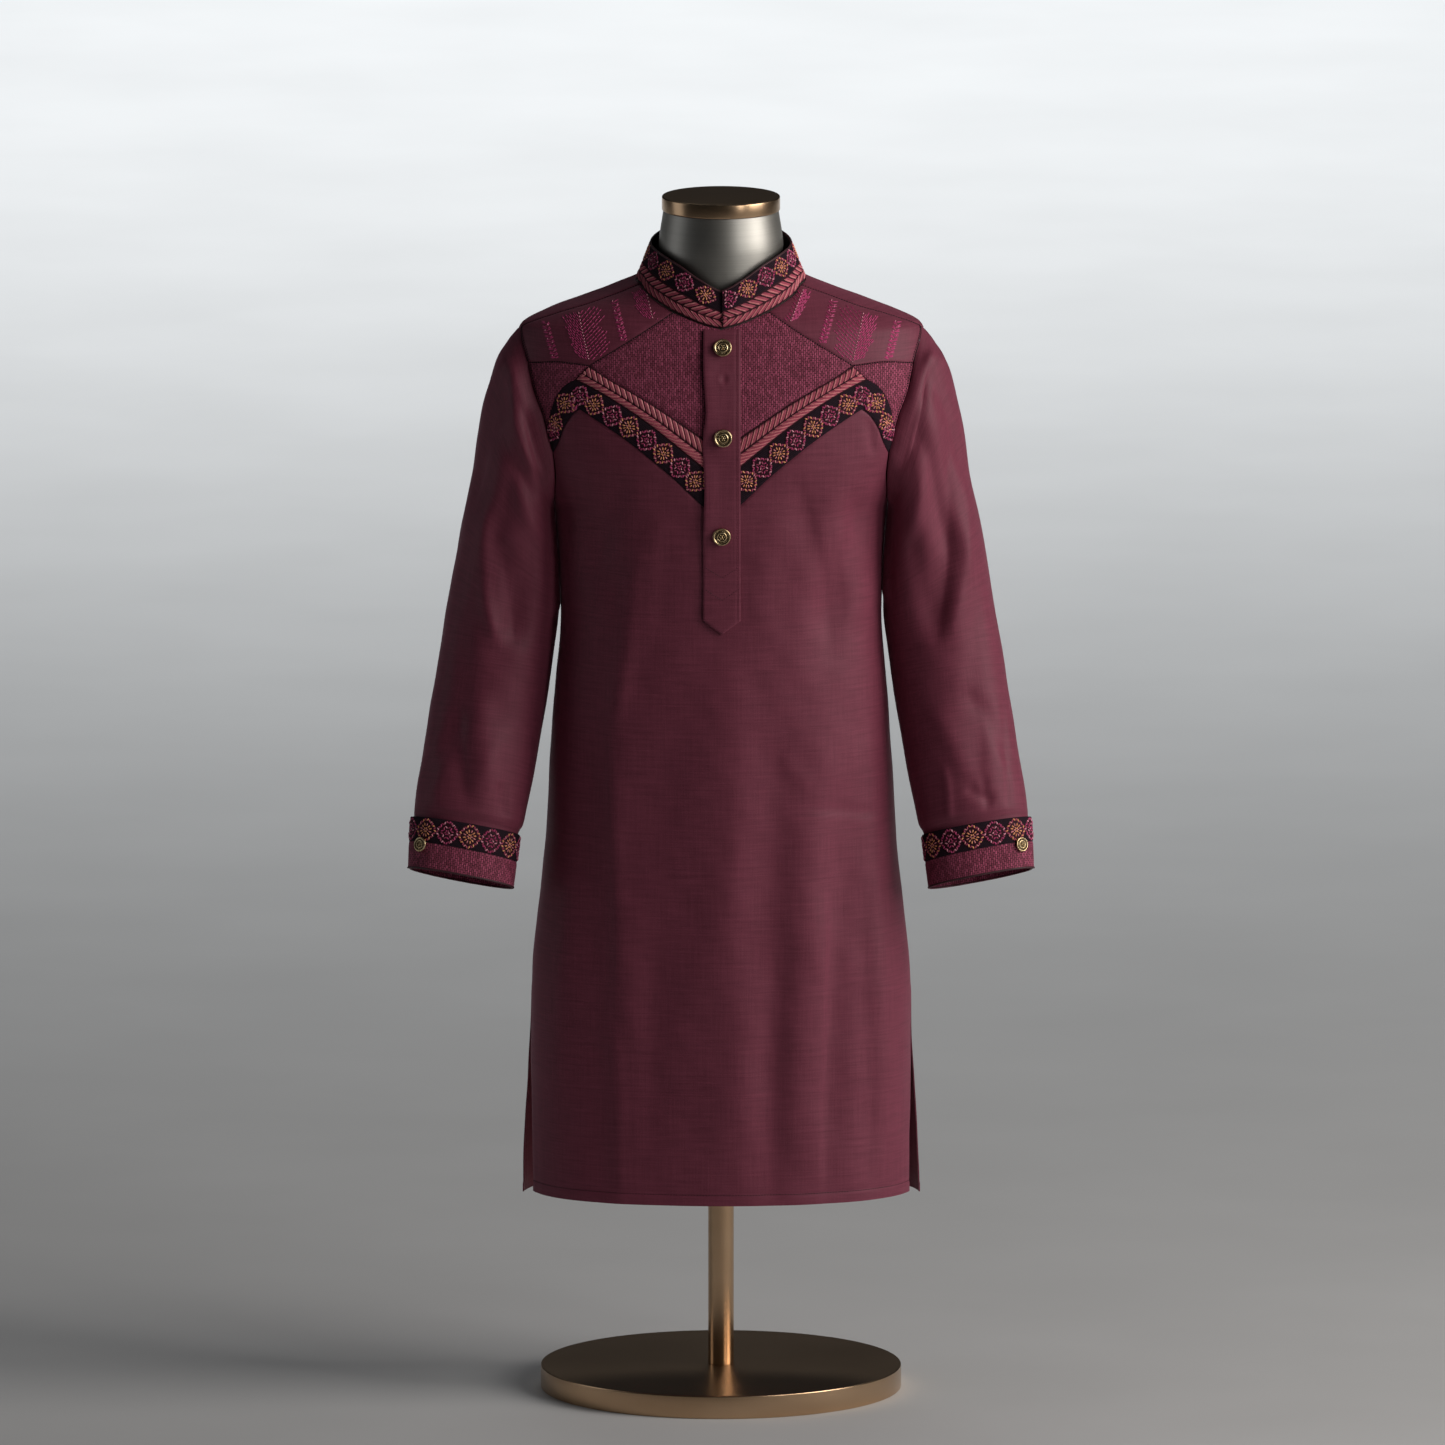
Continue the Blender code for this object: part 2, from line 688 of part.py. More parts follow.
def make_back(seams):
    """The back, which comes over the shoulders to the seam in front of them."""
    skirt = []
    for i in range(BACK_SKIRT_ROWS + 1):
        level = BACK_HEM + (ARMPIT - BACK_HEM) * i / BACK_SKIRT_ROWS
        opened = ease((SLIT_TOP - level) / (SLIT_TOP - BACK_HEM)) * BACK_SLIT_TURN * DEGREE
        skirt.append((math.pi / 2 + opened, level))
    edge = skirt + back_armhole()[1:] + list(reversed(seams["shoulder"]))[1:]
    marks = (0, BACK_SKIRT_ROWS, BACK_SKIRT_ROWS + ARMHOLE_BACK_STEPS, len(edge) - 1)
    levels = (BACK_HEM, ARMPIT, BACK_TIP_LEVEL, BACK_NECK)
    rows = []
    for i, (angle, height) in enumerate(edge):
        middle = float(np.interp(i, marks, levels))
        half = []
        for j in range(BACK_COLUMNS + 1):
            u = j / BACK_COLUMNS
            rise = (middle - height) * back_rise(u)
            half.append((angle + (math.pi - angle) * u, height + rise))
        rows.append(half + [(2 * math.pi - a, z) for a, z in reversed(half[:-1])])
    outer, inner = body_wall(rows)
    closed_wall("back", outer, inner, "cloth")


def make_placket():
    """The button placket, on the front's own points moved out."""
    columns = (0, 0.25, 0.5, 0.75, 1)
    rows = []
    for i in range(PLACKET_ROWS + 1):
        v = i / PLACKET_ROWS
        row = []
        for u in columns:
            x = PLACKET_LEFT + (PLACKET_RIGHT - PLACKET_LEFT) * u
            tip = PLACKET_SHOULDER - (PLACKET_SHOULDER - PLACKET_TIP) * (1 - abs(2 * u - 1))
            rise = (x / PLACKET_RIGHT) ** 2 * PLACKET_CORNER_RISE
            z = (tip + (PLACKET_TOP + rise - tip) * v) * MM
            row.append((angle_across(x * MM, z), z))
        rows.append(row)
    outer = np.array([
        [plain_body(a, z) + body_normal(a, z) * (PLACKET_PROUD + PLACKET_WALL) for a, z in row]
        for row in rows
    ])
    normal = np.array([[body_normal(a, z) for a, z in row] for row in rows])
    closed_wall("placket", outer, outer - normal * PLACKET_WALL, "cloth")


def button_profile(diameter):
    """A button with a rolled rim, a sunk ring and a domed centre, on a short shank."""
    r = diameter / 2
    return (
        (0, 0), (0.3 * r, 0), (0.3 * r, 0.1 * r), (0.82 * r, 0.13 * r), (r, 0.24 * r),
        (0.97 * r, 0.36 * r), (0.84 * r, 0.4 * r), (0.74 * r, 0.32 * r),
        (0.6 * r, 0.32 * r), (0.5 * r, 0.4 * r), (0.25 * r, 0.46 * r), (0, 0.47 * r),
    )


def make_placket_buttons():
    for name, height, across in PLACKET_BUTTONS:
        angle = angle_across(across * MM, height * MM)
        normal = body_normal(angle, height * MM)
        away = PLACKET_PROUD + PLACKET_WALL + BUTTON_SEAT
        centre = plain_body(angle, height * MM) + normal * away
        turned(name, button_profile(BUTTON_DIAMETER), BUTTON_SIDES, "brass", centre, normal)


def neckline(seams):
    """The neckline's points from the front centre round the +X side to the back."""
    front = seams["neck_front"] + seams["neck_side"][1:]
    return [plain_body(a, z) for a, z in front + back_neck(seams)[1:]]


def neckline_point(turn, line):
    """The neckline's point at an angle from the front, on either side."""
    turns = [math.atan2(p[0], -p[1]) for p in line]
    turns[-1] = math.pi
    at = min(abs(turn), math.pi)
    x, y, z = (float(np.interp(at, turns, [p[c] for p in line])) for c in range(3))
    return np.array((math.copysign(x, turn), y, z))


def collar_top(turn):
    """The collar's upper edge at an angle from the front."""
    table = COLLAR_SECTIONS
    at = min(abs(turn) / DEGREE, 180.0)
    k = max(i for i in range(len(table) - 1) if table[i][0] <= at)
    rows = (table[max(k - 1, 0)], table[k], table[k + 1], table[min(k + 2, len(table) - 1)])
    t = (at - rows[1][0]) / (rows[2][0] - rows[1][0])
    radius, height = (
        0.5 * (2 * b + (d - a) * t + (2 * a - 5 * b + 4 * d - e) * t * t
               + (3 * b - 3 * d + e - a) * t ** 3) * MM
        for a, b, d, e in zip(*(row[1:] for row in rows))
    )
    return np.array((radius * math.sin(turn), -radius * math.cos(turn), height))


def collar_point(turn, share, line):
    low, high = neckline_point(turn, line), collar_top(turn)
    low = low + unit(high - low) * COLLAR_GAP
    return low + (high - low) * share


def collar_normal(turn, line, step=0.03):
    around = collar_point(turn + step, 0.5, line) - collar_point(turn - step, 0.5, line)
    up = collar_point(turn, 1.0, line) - collar_point(turn, 0.0, line)
    return unit(np.cross(around, up))


def make_collar(seams):
    """The stand collar: a braid below and a floral band above, lapped in front."""
    line = neckline(seams)
    start, held = COLLAR_END * DEGREE, (COLLAR_OVERLAP + 1) * DEGREE
    end = (360 + COLLAR_OVERLAP) * DEGREE
    blend = COLLAR_BLEND * DEGREE
    turns = [start] + [held + (end - held) * j / COLLAR_STEPS for j in range(COLLAR_STEPS + 1)]
    for name, low, high, kind in (
        ("collar_braid", 0.0, COLLAR_SPLIT, "braid"),
        ("collar_band", COLLAR_SPLIT, 1.0, "floral"),
    ):
        outer, inner = [], []
        for share in (low, high):
            out_row, in_row = [], []
            for turn in turns:
                lift = COLLAR_LIFT * ease((held + blend - turn) / blend)
                wrapped = turn if turn <= math.pi else turn - 2 * math.pi
                normal = collar_normal(wrapped, line)
                point = collar_point(wrapped, share, line) + normal * lift
                out_row.append(point)
                in_row.append(point - normal * WALL)
            outer.append(out_row)
            inner.append(in_row)
        outer, inner = np.array(outer), np.array(inner)
        shift = draw_in(outer) - outer
        closed_wall(name, outer + shift, inner + shift, kind)


def ring_point(ring, turn, sign):
    """A point of a sleeve ring: 0 is its outer edge, 90 the front, 180 the inner edge."""
    outer_x, outer_z, inner_x, inner_z, axis_y, depth = (v * MM for v in ring)
    inner_x = max(inner_x, half_width(inner_z) + BODY_CLEAR)
    centre = np.array(((outer_x + inner_x) / 2, axis_y, (outer_z + inner_z) / 2))
    across = np.array(((outer_x - inner_x) / 2, 0, (outer_z - inner_z) / 2))
    tilt = ARM_TILT * ease((ARM_TILT_TOP - inner_z) / ARM_TILT_RUN)
    forward = np.array((0, -math.cos(tilt), math.sin(tilt))) * depth
    c, s = math.cos(turn), math.sin(turn)
    power = 2 / SLEEVE_SQUARENESS
    point = (
        centre
        + across * math.copysign(abs(c) ** power, c)
        + forward * math.copysign(abs(s) ** power, s)
    )
    return point * np.array((sign, 1, 1))


def armhole_loop(seams):
    """The armhole's (angle, height) pairs: tip, down the front, up the back."""
    front = (
        list(reversed(seams["armhole_yoke"]))
        + list(reversed(seams["armhole_side"]))[1:]
        + list(reversed(seams["armhole_band"]))[1:]
        + seams["armhole_lower"][1:]
    )
    return front + back_armhole()[1:-1]


def sleeve_grid(seams, sign):
    """Outer points of a sleeve, its first ring along the armhole."""
    loop = armhole_loop(seams)
    count = len(loop)
    points = np.array([plain_body(sign * a, z) for a, z in loop])
    normals = np.array([body_normal(sign * a, z) for a, z in loop])
    middle = (points[0] + points[armpit_index(seams)]) / 2
    turns = [loop_turn(p, points[0], middle, sign) for p in points]
    rings = [first_ring(points, normals, middle)]
    for k, ring in enumerate(SLEEVE_RINGS):
        even = min((k + 1) / SLEEVE_EVEN_RING, 1.0)
        row = []
        for j in range(count):
            turn = turns[j] * (1 - even) + 2 * math.pi * j / count * even
            row.append(ring_point(ring, turn, sign))
        rings.append(np.array(row))
    for level in (-0.1, CUFF_TUCK):
        rings.append(np.array([
            cuff_point(level, 2 * math.pi * j / count, sign, -WALL - CUFF_CLEAR)[0]
            for j in range(count)
        ]))
    return np.array(rings), normals


def armpit_index(seams):
    return ARMHOLE_YOKE_STEPS + ARMHOLE_SIDE_STEPS + 1 + ARMHOLE_LOWER_STEPS


def loop_turn(point, tip, middle, sign):
    """The angle of an armhole point about the armhole's middle, from the tip."""
    spoke = tip - middle
    along = float(np.dot(point - middle, spoke) / np.dot(spoke, spoke))
    front = -(point[1] - middle[1]) / SLEEVE_HEAD_DEPTH
    turn = math.atan2(front, along)
    return turn if turn >= -1e-9 else turn + 2 * math.pi


def underarm(height):
    """0 on the body's own surface, growing to 1 under the arm."""
    return ease((UNDERARM_TOP - height) / UNDERARM_RUN)


def first_ring(points, normals, middle):
    """The armhole's points moved a seam's gap into the sleeve."""
    out = []
    for k, (point, normal) in enumerate(zip(points, normals)):
        along = points[(k + 1) % len(points)] - points[k - 1]
        away = unit(np.cross(normal, along))
        away *= math.copysign(1, float(np.dot(away, middle - point)))
        low = underarm(point[2])
        out.append(point + away * SEAM_GAP * (1 - low) + normal * UNDERARM_CLEAR * low)
    return np.array(out)


def grid_normals(grid, sign):
    """Outward normals of a grid of rings."""
    around = np.roll(grid, -1, axis=1) - np.roll(grid, 1, axis=1)
    along = np.gradient(grid, axis=0)
    normal = np.cross(around, along) * sign
    return normal / np.linalg.norm(normal, axis=2, keepdims=True)


def sleeve_fold(turn, row, fold):
    turn0, row0, turn1, row1, depth, width = fold
    t = (row - row0) / (row1 - row0)
    inside = ease(min(t, 1 - t) * 3 + 0.25) if -0.1 < t < 1.1 else 0.0
    centre = turn0 + (turn1 - turn0) * min(max(t, 0), 1)
    away = ((turn - centre + 180) % 360 - 180) / width
    return depth * MM * inside * math.exp(-away * away * SLEEVE_FOLD_FALL)


def make_sleeve(seams, side, sign):
    grid, body_normals = sleeve_grid(seams, sign)
    normals = grid_normals(grid, sign)
    count = grid.shape[1]
    share, later = (1.0, 0.0) if sign > 0 else LEFT_SLEEVE_FOLDS
    for i in range(2, len(grid) - 2):
        for j in range(count):
            turn = 360 * j / count
            free = ease((abs(turn - 180) - SLEEVE_PLAIN) / SLEEVE_PLAIN_BLEND)
            shift = share * sum(sleeve_fold(turn, i - later, f) for f in SLEEVE_FOLDS)
            grid[i][j] += normals[i][j] * shift * free
    normals = grid_normals(grid, sign)
    blend = np.array([underarm(p[2]) for p in grid[0]])[:, None]
    first = body_normals * (1 - blend) + normals[0] * blend
    normals[0] = first / np.linalg.norm(first, axis=1, keepdims=True)
    closed_wall(f"sleeve_{side}", grid, grid - normals * WALL, "cloth", ring=True)


def cuff_point(level, turn, sign, out):
    """A point of the cuff: level 0 is its top edge, 1 the seam, 2 the bottom edge."""
    low = min(max(int(level), 0), 1)
    t = level - low
    ring = [a + (b - a) * t for a, b in zip(CUFF_RINGS[low], CUFF_RINGS[low + 1])]
    point = ring_point(ring, turn, sign)
    step = 1e-3
    around = ring_point(ring, turn + step, sign) - ring_point(ring, turn - step, sign)
    down = ring_point(CUFF_RINGS[2], turn, sign) - ring_point(CUFF_RINGS[0], turn, sign)
    normal = unit(np.cross(around, down)) * sign
    return point + normal * out, normal


def make_cuff(side, sign):
    """The lapped cuff: a floral band above and a textured band below."""
    start, end = CUFF_LAP_START * DEGREE, (CUFF_LAP_END - 360) * DEGREE
    lap = start - 360 * DEGREE
    lift = WALL + 2 * SEAM_GAP
    for name, top, bottom, kind in (
        (f"cuff_band_{side}", 0.0, 1.0, "floral"),
        (f"cuff_{side}", 1.0, 2.0, "jacquard"),
    ):
        outer, inner = [], []
        for level in (bottom, top):
            out_row, in_row = [], []
            for j in range(CUFF_STEPS + 1):
                turn = start + (end - start) * j / CUFF_STEPS
                raised = ease((lap + CUFF_LAP_BLEND * DEGREE - turn) / (CUFF_LAP_BLEND * DEGREE))
                point, normal = cuff_point(level, turn, sign, lift * raised)
                out_row.append(point)
                in_row.append(point - normal * WALL)
            outer.append(out_row)
            inner.append(in_row)
        outer, inner = np.array(outer), np.array(inner)
        shift = draw_in(outer) - outer
        closed_wall(name, outer + shift, inner + shift, kind)
    away = lift + BUTTON_SEAT
    centre, normal = cuff_point(CUFF_BUTTON_LEVEL, CUFF_BUTTON_ANGLE * DEGREE, sign, away)
    turned(
        f"cuff_button_{side}", button_profile(CUFF_BUTTON_DIAMETER), BUTTON_SIDES,
        "brass", centre, normal,
    )


def table_value(table, height):
    return float(np.interp(height / MM, [row[0] for row in table], [row[1] for row in table])) * MM


def form_point(turn, height):
    """A point of the form: the larger of the shoulders and the neck, run together."""
    level = height + FORM_DROP
    inset = table_value(FORM_INSETS, height)
    arm = table_value(FORM_ARM_ENDS, height)
    side = half_width(level) - inset
    half = (side ** -FORM_ARM_BLEND + arm ** -FORM_ARM_BLEND) ** (-1 / FORM_ARM_BLEND)
    deep = (front_depth(level) if math.cos(turn) > 0 else back_depth(level)) - inset
    power = squareness(level)
    across, along = abs(math.sin(turn) / half), abs(math.cos(turn) / deep)
    body = (across ** power + along ** power) ** (-1 / power)
    body *= 1 - ease((height - FORM_SHOULDER_TOP) / FORM_SHOULDER_FADE)
    neck = table_value(FORM_NECK, height)
    radius = (body ** FORM_BLEND + neck ** FORM_BLEND) ** (1 / FORM_BLEND)
    return (radius * math.sin(turn), -radius * math.cos(turn), height)


def form_turn(k):
    """Even steps round the form, drawn towards the sides where it is wide."""
    turn = 2 * math.pi * k / FORM_SIDES
    return math.atan2(FORM_SIDE_CROWD * math.sin(turn), math.cos(turn))


def make_form():
    """The smooth form with its neck, open below for the pole."""
    made = bmesh.new()

    def ring(points):
        return [made.verts.new(p) for p in points]

    def circle(radius, height):
        turns = [form_turn(k) for k in range(FORM_SIDES)]
        return [(radius * math.sin(t), -radius * math.cos(t), height) for t in turns]

    bore = (POLE_RADIUS + SEAT_GAP) / math.cos(math.pi / FORM_SIDES * FORM_SIDE_CROWD)
    rings = [ring(circle(bore, POLE_TOP + SEAT_GAP)), ring(circle(bore, FORM_BOTTOM))]
    for height in FORM_HEIGHTS:
        rings.append(ring([form_point(form_turn(k), height * MM) for k in range(FORM_SIDES)]))
    for low, high in zip(rings, rings[1:]):
        for k in range(FORM_SIDES):
            n = (k + 1) % FORM_SIDES
            made.faces.new((low[k], low[n], high[n], high[k]))
    made.faces.new(rings[0])
    made.faces.new(rings[-1])
    bmesh.ops.recalc_face_normals(made, faces=made.faces)
    new_object("form_torso", made, "steel")


def make_stand():
    """Base, pole and neck cap, turned about the form's axis."""
    b = BASE_BEVEL
    turned("form_base", (
        (0, 0), (BASE_RADIUS - b, 0), (BASE_RADIUS, b), (BASE_RADIUS, BASE_HEIGHT - b),
        (BASE_RADIUS - b, BASE_HEIGHT), (0, BASE_HEIGHT),
    ), 64, "bronze")
    turned("form_pole", (
        (0, BASE_HEIGHT + SEAT_GAP), (POLE_RADIUS, BASE_HEIGHT + SEAT_GAP),
        (POLE_RADIUS, POLE_TOP), (0, POLE_TOP),
    ), 32, "bronze")
    cap_bottom = NECK_TOP + SEAT_GAP
    turned("form_cap", (
        (0, cap_bottom), (CAP_RADIUS - CAP_BEVEL, cap_bottom), (CAP_RADIUS, cap_bottom + CAP_BEVEL),
        (CAP_RADIUS, CAP_TOP - CAP_BEVEL), (CAP_RADIUS - CAP_BEVEL, CAP_TOP), (0, CAP_TOP),
    ), 48, "bronze")


def main():
    for old in list(bpy.data.objects):
        bpy.data.objects.remove(old, do_unlink=True)
    seams = front_seams()
    make_front(seams)
    make_back(seams)
    make_front_trims(seams)
    make_placket()
    make_placket_buttons()
    make_collar(seams)
    for side, sign in (("right", 1), ("left", -1)):
        make_sleeve(seams, side, sign)
        make_cuff(side, sign)
    make_form()
    make_stand()


main()
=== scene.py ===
import math

import bpy
import numpy as np
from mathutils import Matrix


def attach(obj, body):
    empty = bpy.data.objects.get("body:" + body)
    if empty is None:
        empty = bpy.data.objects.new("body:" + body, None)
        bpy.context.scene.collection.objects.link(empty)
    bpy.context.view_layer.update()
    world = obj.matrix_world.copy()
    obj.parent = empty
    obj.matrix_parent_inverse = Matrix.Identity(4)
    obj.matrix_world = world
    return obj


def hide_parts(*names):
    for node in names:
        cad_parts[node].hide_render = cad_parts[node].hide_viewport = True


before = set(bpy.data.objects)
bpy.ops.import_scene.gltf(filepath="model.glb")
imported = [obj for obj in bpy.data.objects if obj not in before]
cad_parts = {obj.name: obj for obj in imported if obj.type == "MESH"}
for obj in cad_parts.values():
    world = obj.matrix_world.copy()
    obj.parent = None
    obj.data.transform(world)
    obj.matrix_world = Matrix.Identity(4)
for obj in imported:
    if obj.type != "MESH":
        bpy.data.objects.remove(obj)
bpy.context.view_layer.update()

MM = 0.001
DEGREE = math.pi / 180

# Cloth and trim, as in the solids
WALL = 1.5 * MM
TRIM_PROUD = 0.8 * MM
PLACKET_PROUD = 1.6 * MM
PLACKET_WALL = 1.4 * MM
BODY_CLEAR = 1.4 * MM
SHELL = 1.2 * MM

HEM = 213 * MM
BACK_HEM = 206 * MM
SLIT_TOP = 423 * MM
ARMPIT = 940 * MM
BACK_NECK = 1193 * MM
BACK_TIP_LEVEL = 1150 * MM

# Stand
BASE_RADIUS = 189.5 * MM
BASE_HEIGHT = 24.5 * MM
POLE_RADIUS = 13.5 * MM
POLE_TOP = 620 * MM
FORM_BOTTOM = 520 * MM
NECK_TOP = 1254 * MM
CAP_RADIUS = 62 * MM
CAP_TOP = 1269.5 * MM
SEAT_GAP = 0.3 * MM

# Body cloth, in mm: height, half width, front depth, back depth
BODY_SECTIONS = (
    (200, 199.5, 112, 116),
    (423, 199, 110, 112),
    (591, 184, 108, 107),
    (715, 177, 107, 103),
    (830, 168.5, 107, 101),
    (940, 174.5, 113, 108),
    (970, 186, 115, 110),
    (1000, 198.5, 117, 113),
    (1040, 212, 115, 114),
    (1080, 219, 106, 111),
    (1110, 218, 96, 105),
    (1133, 210.5, 87, 99),
    (1147, 186, 79, 93),
    (1157, 160, 70, 89),
    (1171, 122, 53, 81),
    (1186, 86.5, 34, 77.5),
    (1196, 76, 26, 73),
)
BODY_SQUARENESS = ((1060, 2.25), (1133, 2.0))

# The form under the cloth: its neck in mm (height, radius), its arm ends in mm
# (height, half width), and how much smaller than the cloth it is in mm (height, by)
FORM_NECK = ((500, 50), (1100, 56), (1160, 62.5), (1190, 65), (1215, 65.4), (1254, 60.6))
FORM_ARM_ENDS = ((500, 190), (940, 168), (1040, 172), (1100, 180), (1133, 190), (1200, 190))
FORM_INSETS = ((500, 8), (940, 9), (1080, 6), (1110, 2.6), (1133, 1.6), (1200, 1.5))
FORM_DROP = 2.2 * MM
FORM_BLEND = 22
FORM_ARM_BLEND = 12
FORM_SHOULDER_TOP = 1190 * MM
FORM_SHOULDER_FADE = 12 * MM

# Seams of the +X half front, in mm across and up
NECK_FRONT = ((0, 1141), (22, 1146.5), (50, 1157))
NECK_SIDE = ((50, 1157), (66, 1165), (78, 1172))
YOKE_CORNER = (138, 1102)
YOKE_RISE = (YOKE_CORNER, (96, 1128), (50, 1157))
YOKE_SIDE = (YOKE_CORNER, (171, 1103.5))
BRAID_TOP = ((0, 1019), (21, 1032.5), (63, 1060), (91, 1076), (118, 1090), YOKE_CORNER)
BRAID_LOW = ((0, 984), (22, 1001.5), (66, 1037), (94.5, 1057), (126, 1075), (153, 1087))
BRAID_END = (YOKE_CORNER, (153, 1087))
LEG_OUTER = ((153, 1087), (165, 1078.5), (174.5, 1063), (179.5, 1046))
BAND_LOW = ((0, 940), (24, 963), (50, 988), (74, 1008), (99, 1027), (127, 1045), (148, 1057.5))
LEG_INNER = ((148, 1057.5), (157, 1049), (165, 1035.5), (170, 1021))

# Shoulder seam and armhole, as angles in degrees and heights in mm
SHOULDER_SEAM = (
    (58.1, 1179.7), (62.4, 1168), (66, 1158.5), (70.5, 1151), (74.5, 1144.5), (79, 1138),
    (84, 1132.5),
)
ARMHOLE_YOKE = ((67, 1099), (70.5, 1111), (76, 1122), (84, 1132.5))
ARMHOLE_SIDE = ((58.5, 1031), (59.3, 1048), (61.3, 1064.5), (64, 1082), (67, 1099))
ARMHOLE_BAND = ((59.5, 1007), (58.5, 1031))
ARMHOLE_LOWER = ((59.5, 1007), (61.5, 993.5), (64.5, 980), (69, 966.5), (76, 953.5), (90, 940))
ARMHOLE_BACK = (
    (90, 940), (100, 944.5), (111, 955), (119.5, 974), (124, 996), (125.4, 1019.5),
    (124.3, 1043), (121, 1066), (116.5, 1087), (109.5, 1106), (100, 1121), (91.5, 1129), (84, 1132.5),
)

# How many of the solids' steps each run of an edge takes
BAND_SHARES = (8, 3)
FRONT_TOP_SHARES = (8, 3, 5)
BACK_EDGE_SHARES = (17, 12, 8)

FRONT_BEND_START = 0.55
FRONT_BEND_LEAST = 0.25
FRONT_CROWD_POWER = 1.25
FRONT_CROWD_START = 0.14
FRONT_CROWD_RUN = 0.72
FRONT_SLIT_TURN = 9.5
BACK_SLIT_TURN = 4
BACK_SLIT_FLARE = 9 * MM

# Placket, in mm across and up
PLACKET_LEFT = -18.5
PLACKET_RIGHT = 20.5
PLACKET_TIP = 821
PLACKET_SHOULDER = 836
PLACKET_TOP = 1139.6
PLACKET_CORNER_RISE = 1.15
# How its left edge wanders, in mm: height, reach, shift to the right; and a dimple
PLACKET_WAVES = ((1078, 18, 1.0), (1056, 18, 2.4), (1022, 18, -0.8), (975, 30, 1.3))
DIMPLE = (3.2, 1091)

# Buttons: height, place across, in mm
PLACKET_BUTTONS = (("button_1", 1122, 1.8), ("button_2", 1031.5, 2.2), ("button_3", 927, 0.8))
BUTTON_DIAMETER = 19 * MM
CUFF_BUTTON_DIAMETER = 15.5 * MM
BUTTON_SEAT = 0.45 * MM

# Collar, in mm: angle, upper edge's radius and height; its lower edge is the neckline
COLLAR_SECTIONS = (
    (0, 73.0, 1180),
    (16, 73.0, 1190),
    (37, 73.5, 1205),
    (62, 74.0, 1215),
    (90, 74.0, 1220),
    (120, 73.5, 1226),
    (150, 73.5, 1232),
    (180, 73.5, 1235),
)
COLLAR_GAP = 0.8 * MM
COLLAR_SPLIT = 0.47
COLLAR_END = 1
COLLAR_OVERLAP = 8
COLLAR_BLEND = 16
COLLAR_LIFT = 2.1 * MM

# Sleeve rings, in mm: outer edge across and up, inner edge across and up, axis
# forward or back, half depth
SLEEVE_RINGS = (
    (224, 1114, 176, 934, 1, 71),
    (237, 1091, 175.5, 924, 1, 69),
    (252, 1034, 173.5, 902, 2, 66),
    (262, 972, 172, 876, 4, 64),
    (272, 921, 170.5, 850, 5, 62),
    (281.5, 868, 170.5, 822, 5, 60),
    (291, 812, 175, 787, 2, 59),
    (300, 754, 182, 737, -4, 58),
    (307, 716, 189, 698, -11, 56),
    (313, 678, 196, 658, -20, 54),
    (318.5, 646, 203, 626, -28, 50),
    (321.5, 625, 207.5, 606, -33, 46.5),
)
CUFF_RINGS = (
    (324.5, 614, 210.5, 594.5, -36.3, 43.5),
    (326, 589, 214, 567, -43.5, 42),
    (327, 562, 217.5, 541, -52, 40.5),
)
SLEEVE_SQUARENESS = 2.1
SLEEVE_HEAD_DEPTH = 70 * MM
SLEEVE_EVEN_RING = 6
ARM_TILT = 15 * DEGREE
ARM_TILT_TOP = 900 * MM
ARM_TILT_RUN = 200 * MM
UNDERARM_TOP = 1000 * MM
UNDERARM_RUN = 55 * MM
UNDERARM_CLEAR = 0.84 * MM
CUFF_TUCK = 0.35
CUFF_CLEAR = 0.8 * MM
CUFF_LAP_START = 48
CUFF_LAP_END = 5
CUFF_LAP_BLEND = 22
CUFF_BUTTON_ANGLE = 41
CUFF_BUTTON_LEVEL = 1.1

# The largest folds of the body, in mm: side of the body (1 front, -1 back),
# start across and up, end across and up, depth (below 0 is a trough), half width
BODY_FOLDS = (
    (1, 158, 985, 100, 800, -3.4, 24),
    (1, 134, 1000, 84, 850, 2.6, 24),
    (1, 132, 870, 112, 775, -2.2, 17),
    (1, 106, 760, 101, 430, 2.4, 24),
    (1, 128, 640, 110, 230, -4.5, 26),
    (1, 92, 600, 78, 230, 3.0, 30),
    (1, 56, 800, 52, 225, -1.3, 22),
    (1, 84, 790, 78, 300, 1.0, 20),
    (1, 160, 690, 176, 260, 3.0, 20),
    (1, -100, 850, -118, 540, 2.4, 24),
    (1, -60, 700, -66, 230, -0.8, 30),
    (1, -132, 620, -126, 230, -2.0, 24),
    (1, -160, 700, -176, 260, 2.6, 20),
    (1, -156, 985, -112, 860, -2.8, 22),
    (-1, 60, 1000, 34, 760, -4.8, 30),
    (-1, -72, 990, -40, 740, -4.4, 28),
    (-1, 112, 860, 126, 230, 4.6, 28),
    (-1, 52, 700, 60, 225, -6.4, 28),
    (-1, -14, 640, -8, 225, 5.0, 28),
    (-1, -84, 720, -92, 225, -6.0, 26),
    (-1, -140, 700, -150, 240, 4.0, 24),
)
FOLD_END = 0.35
BODY_FOLD_FALL = 1.6
SLEEVE_FOLD_FALL = 1.4

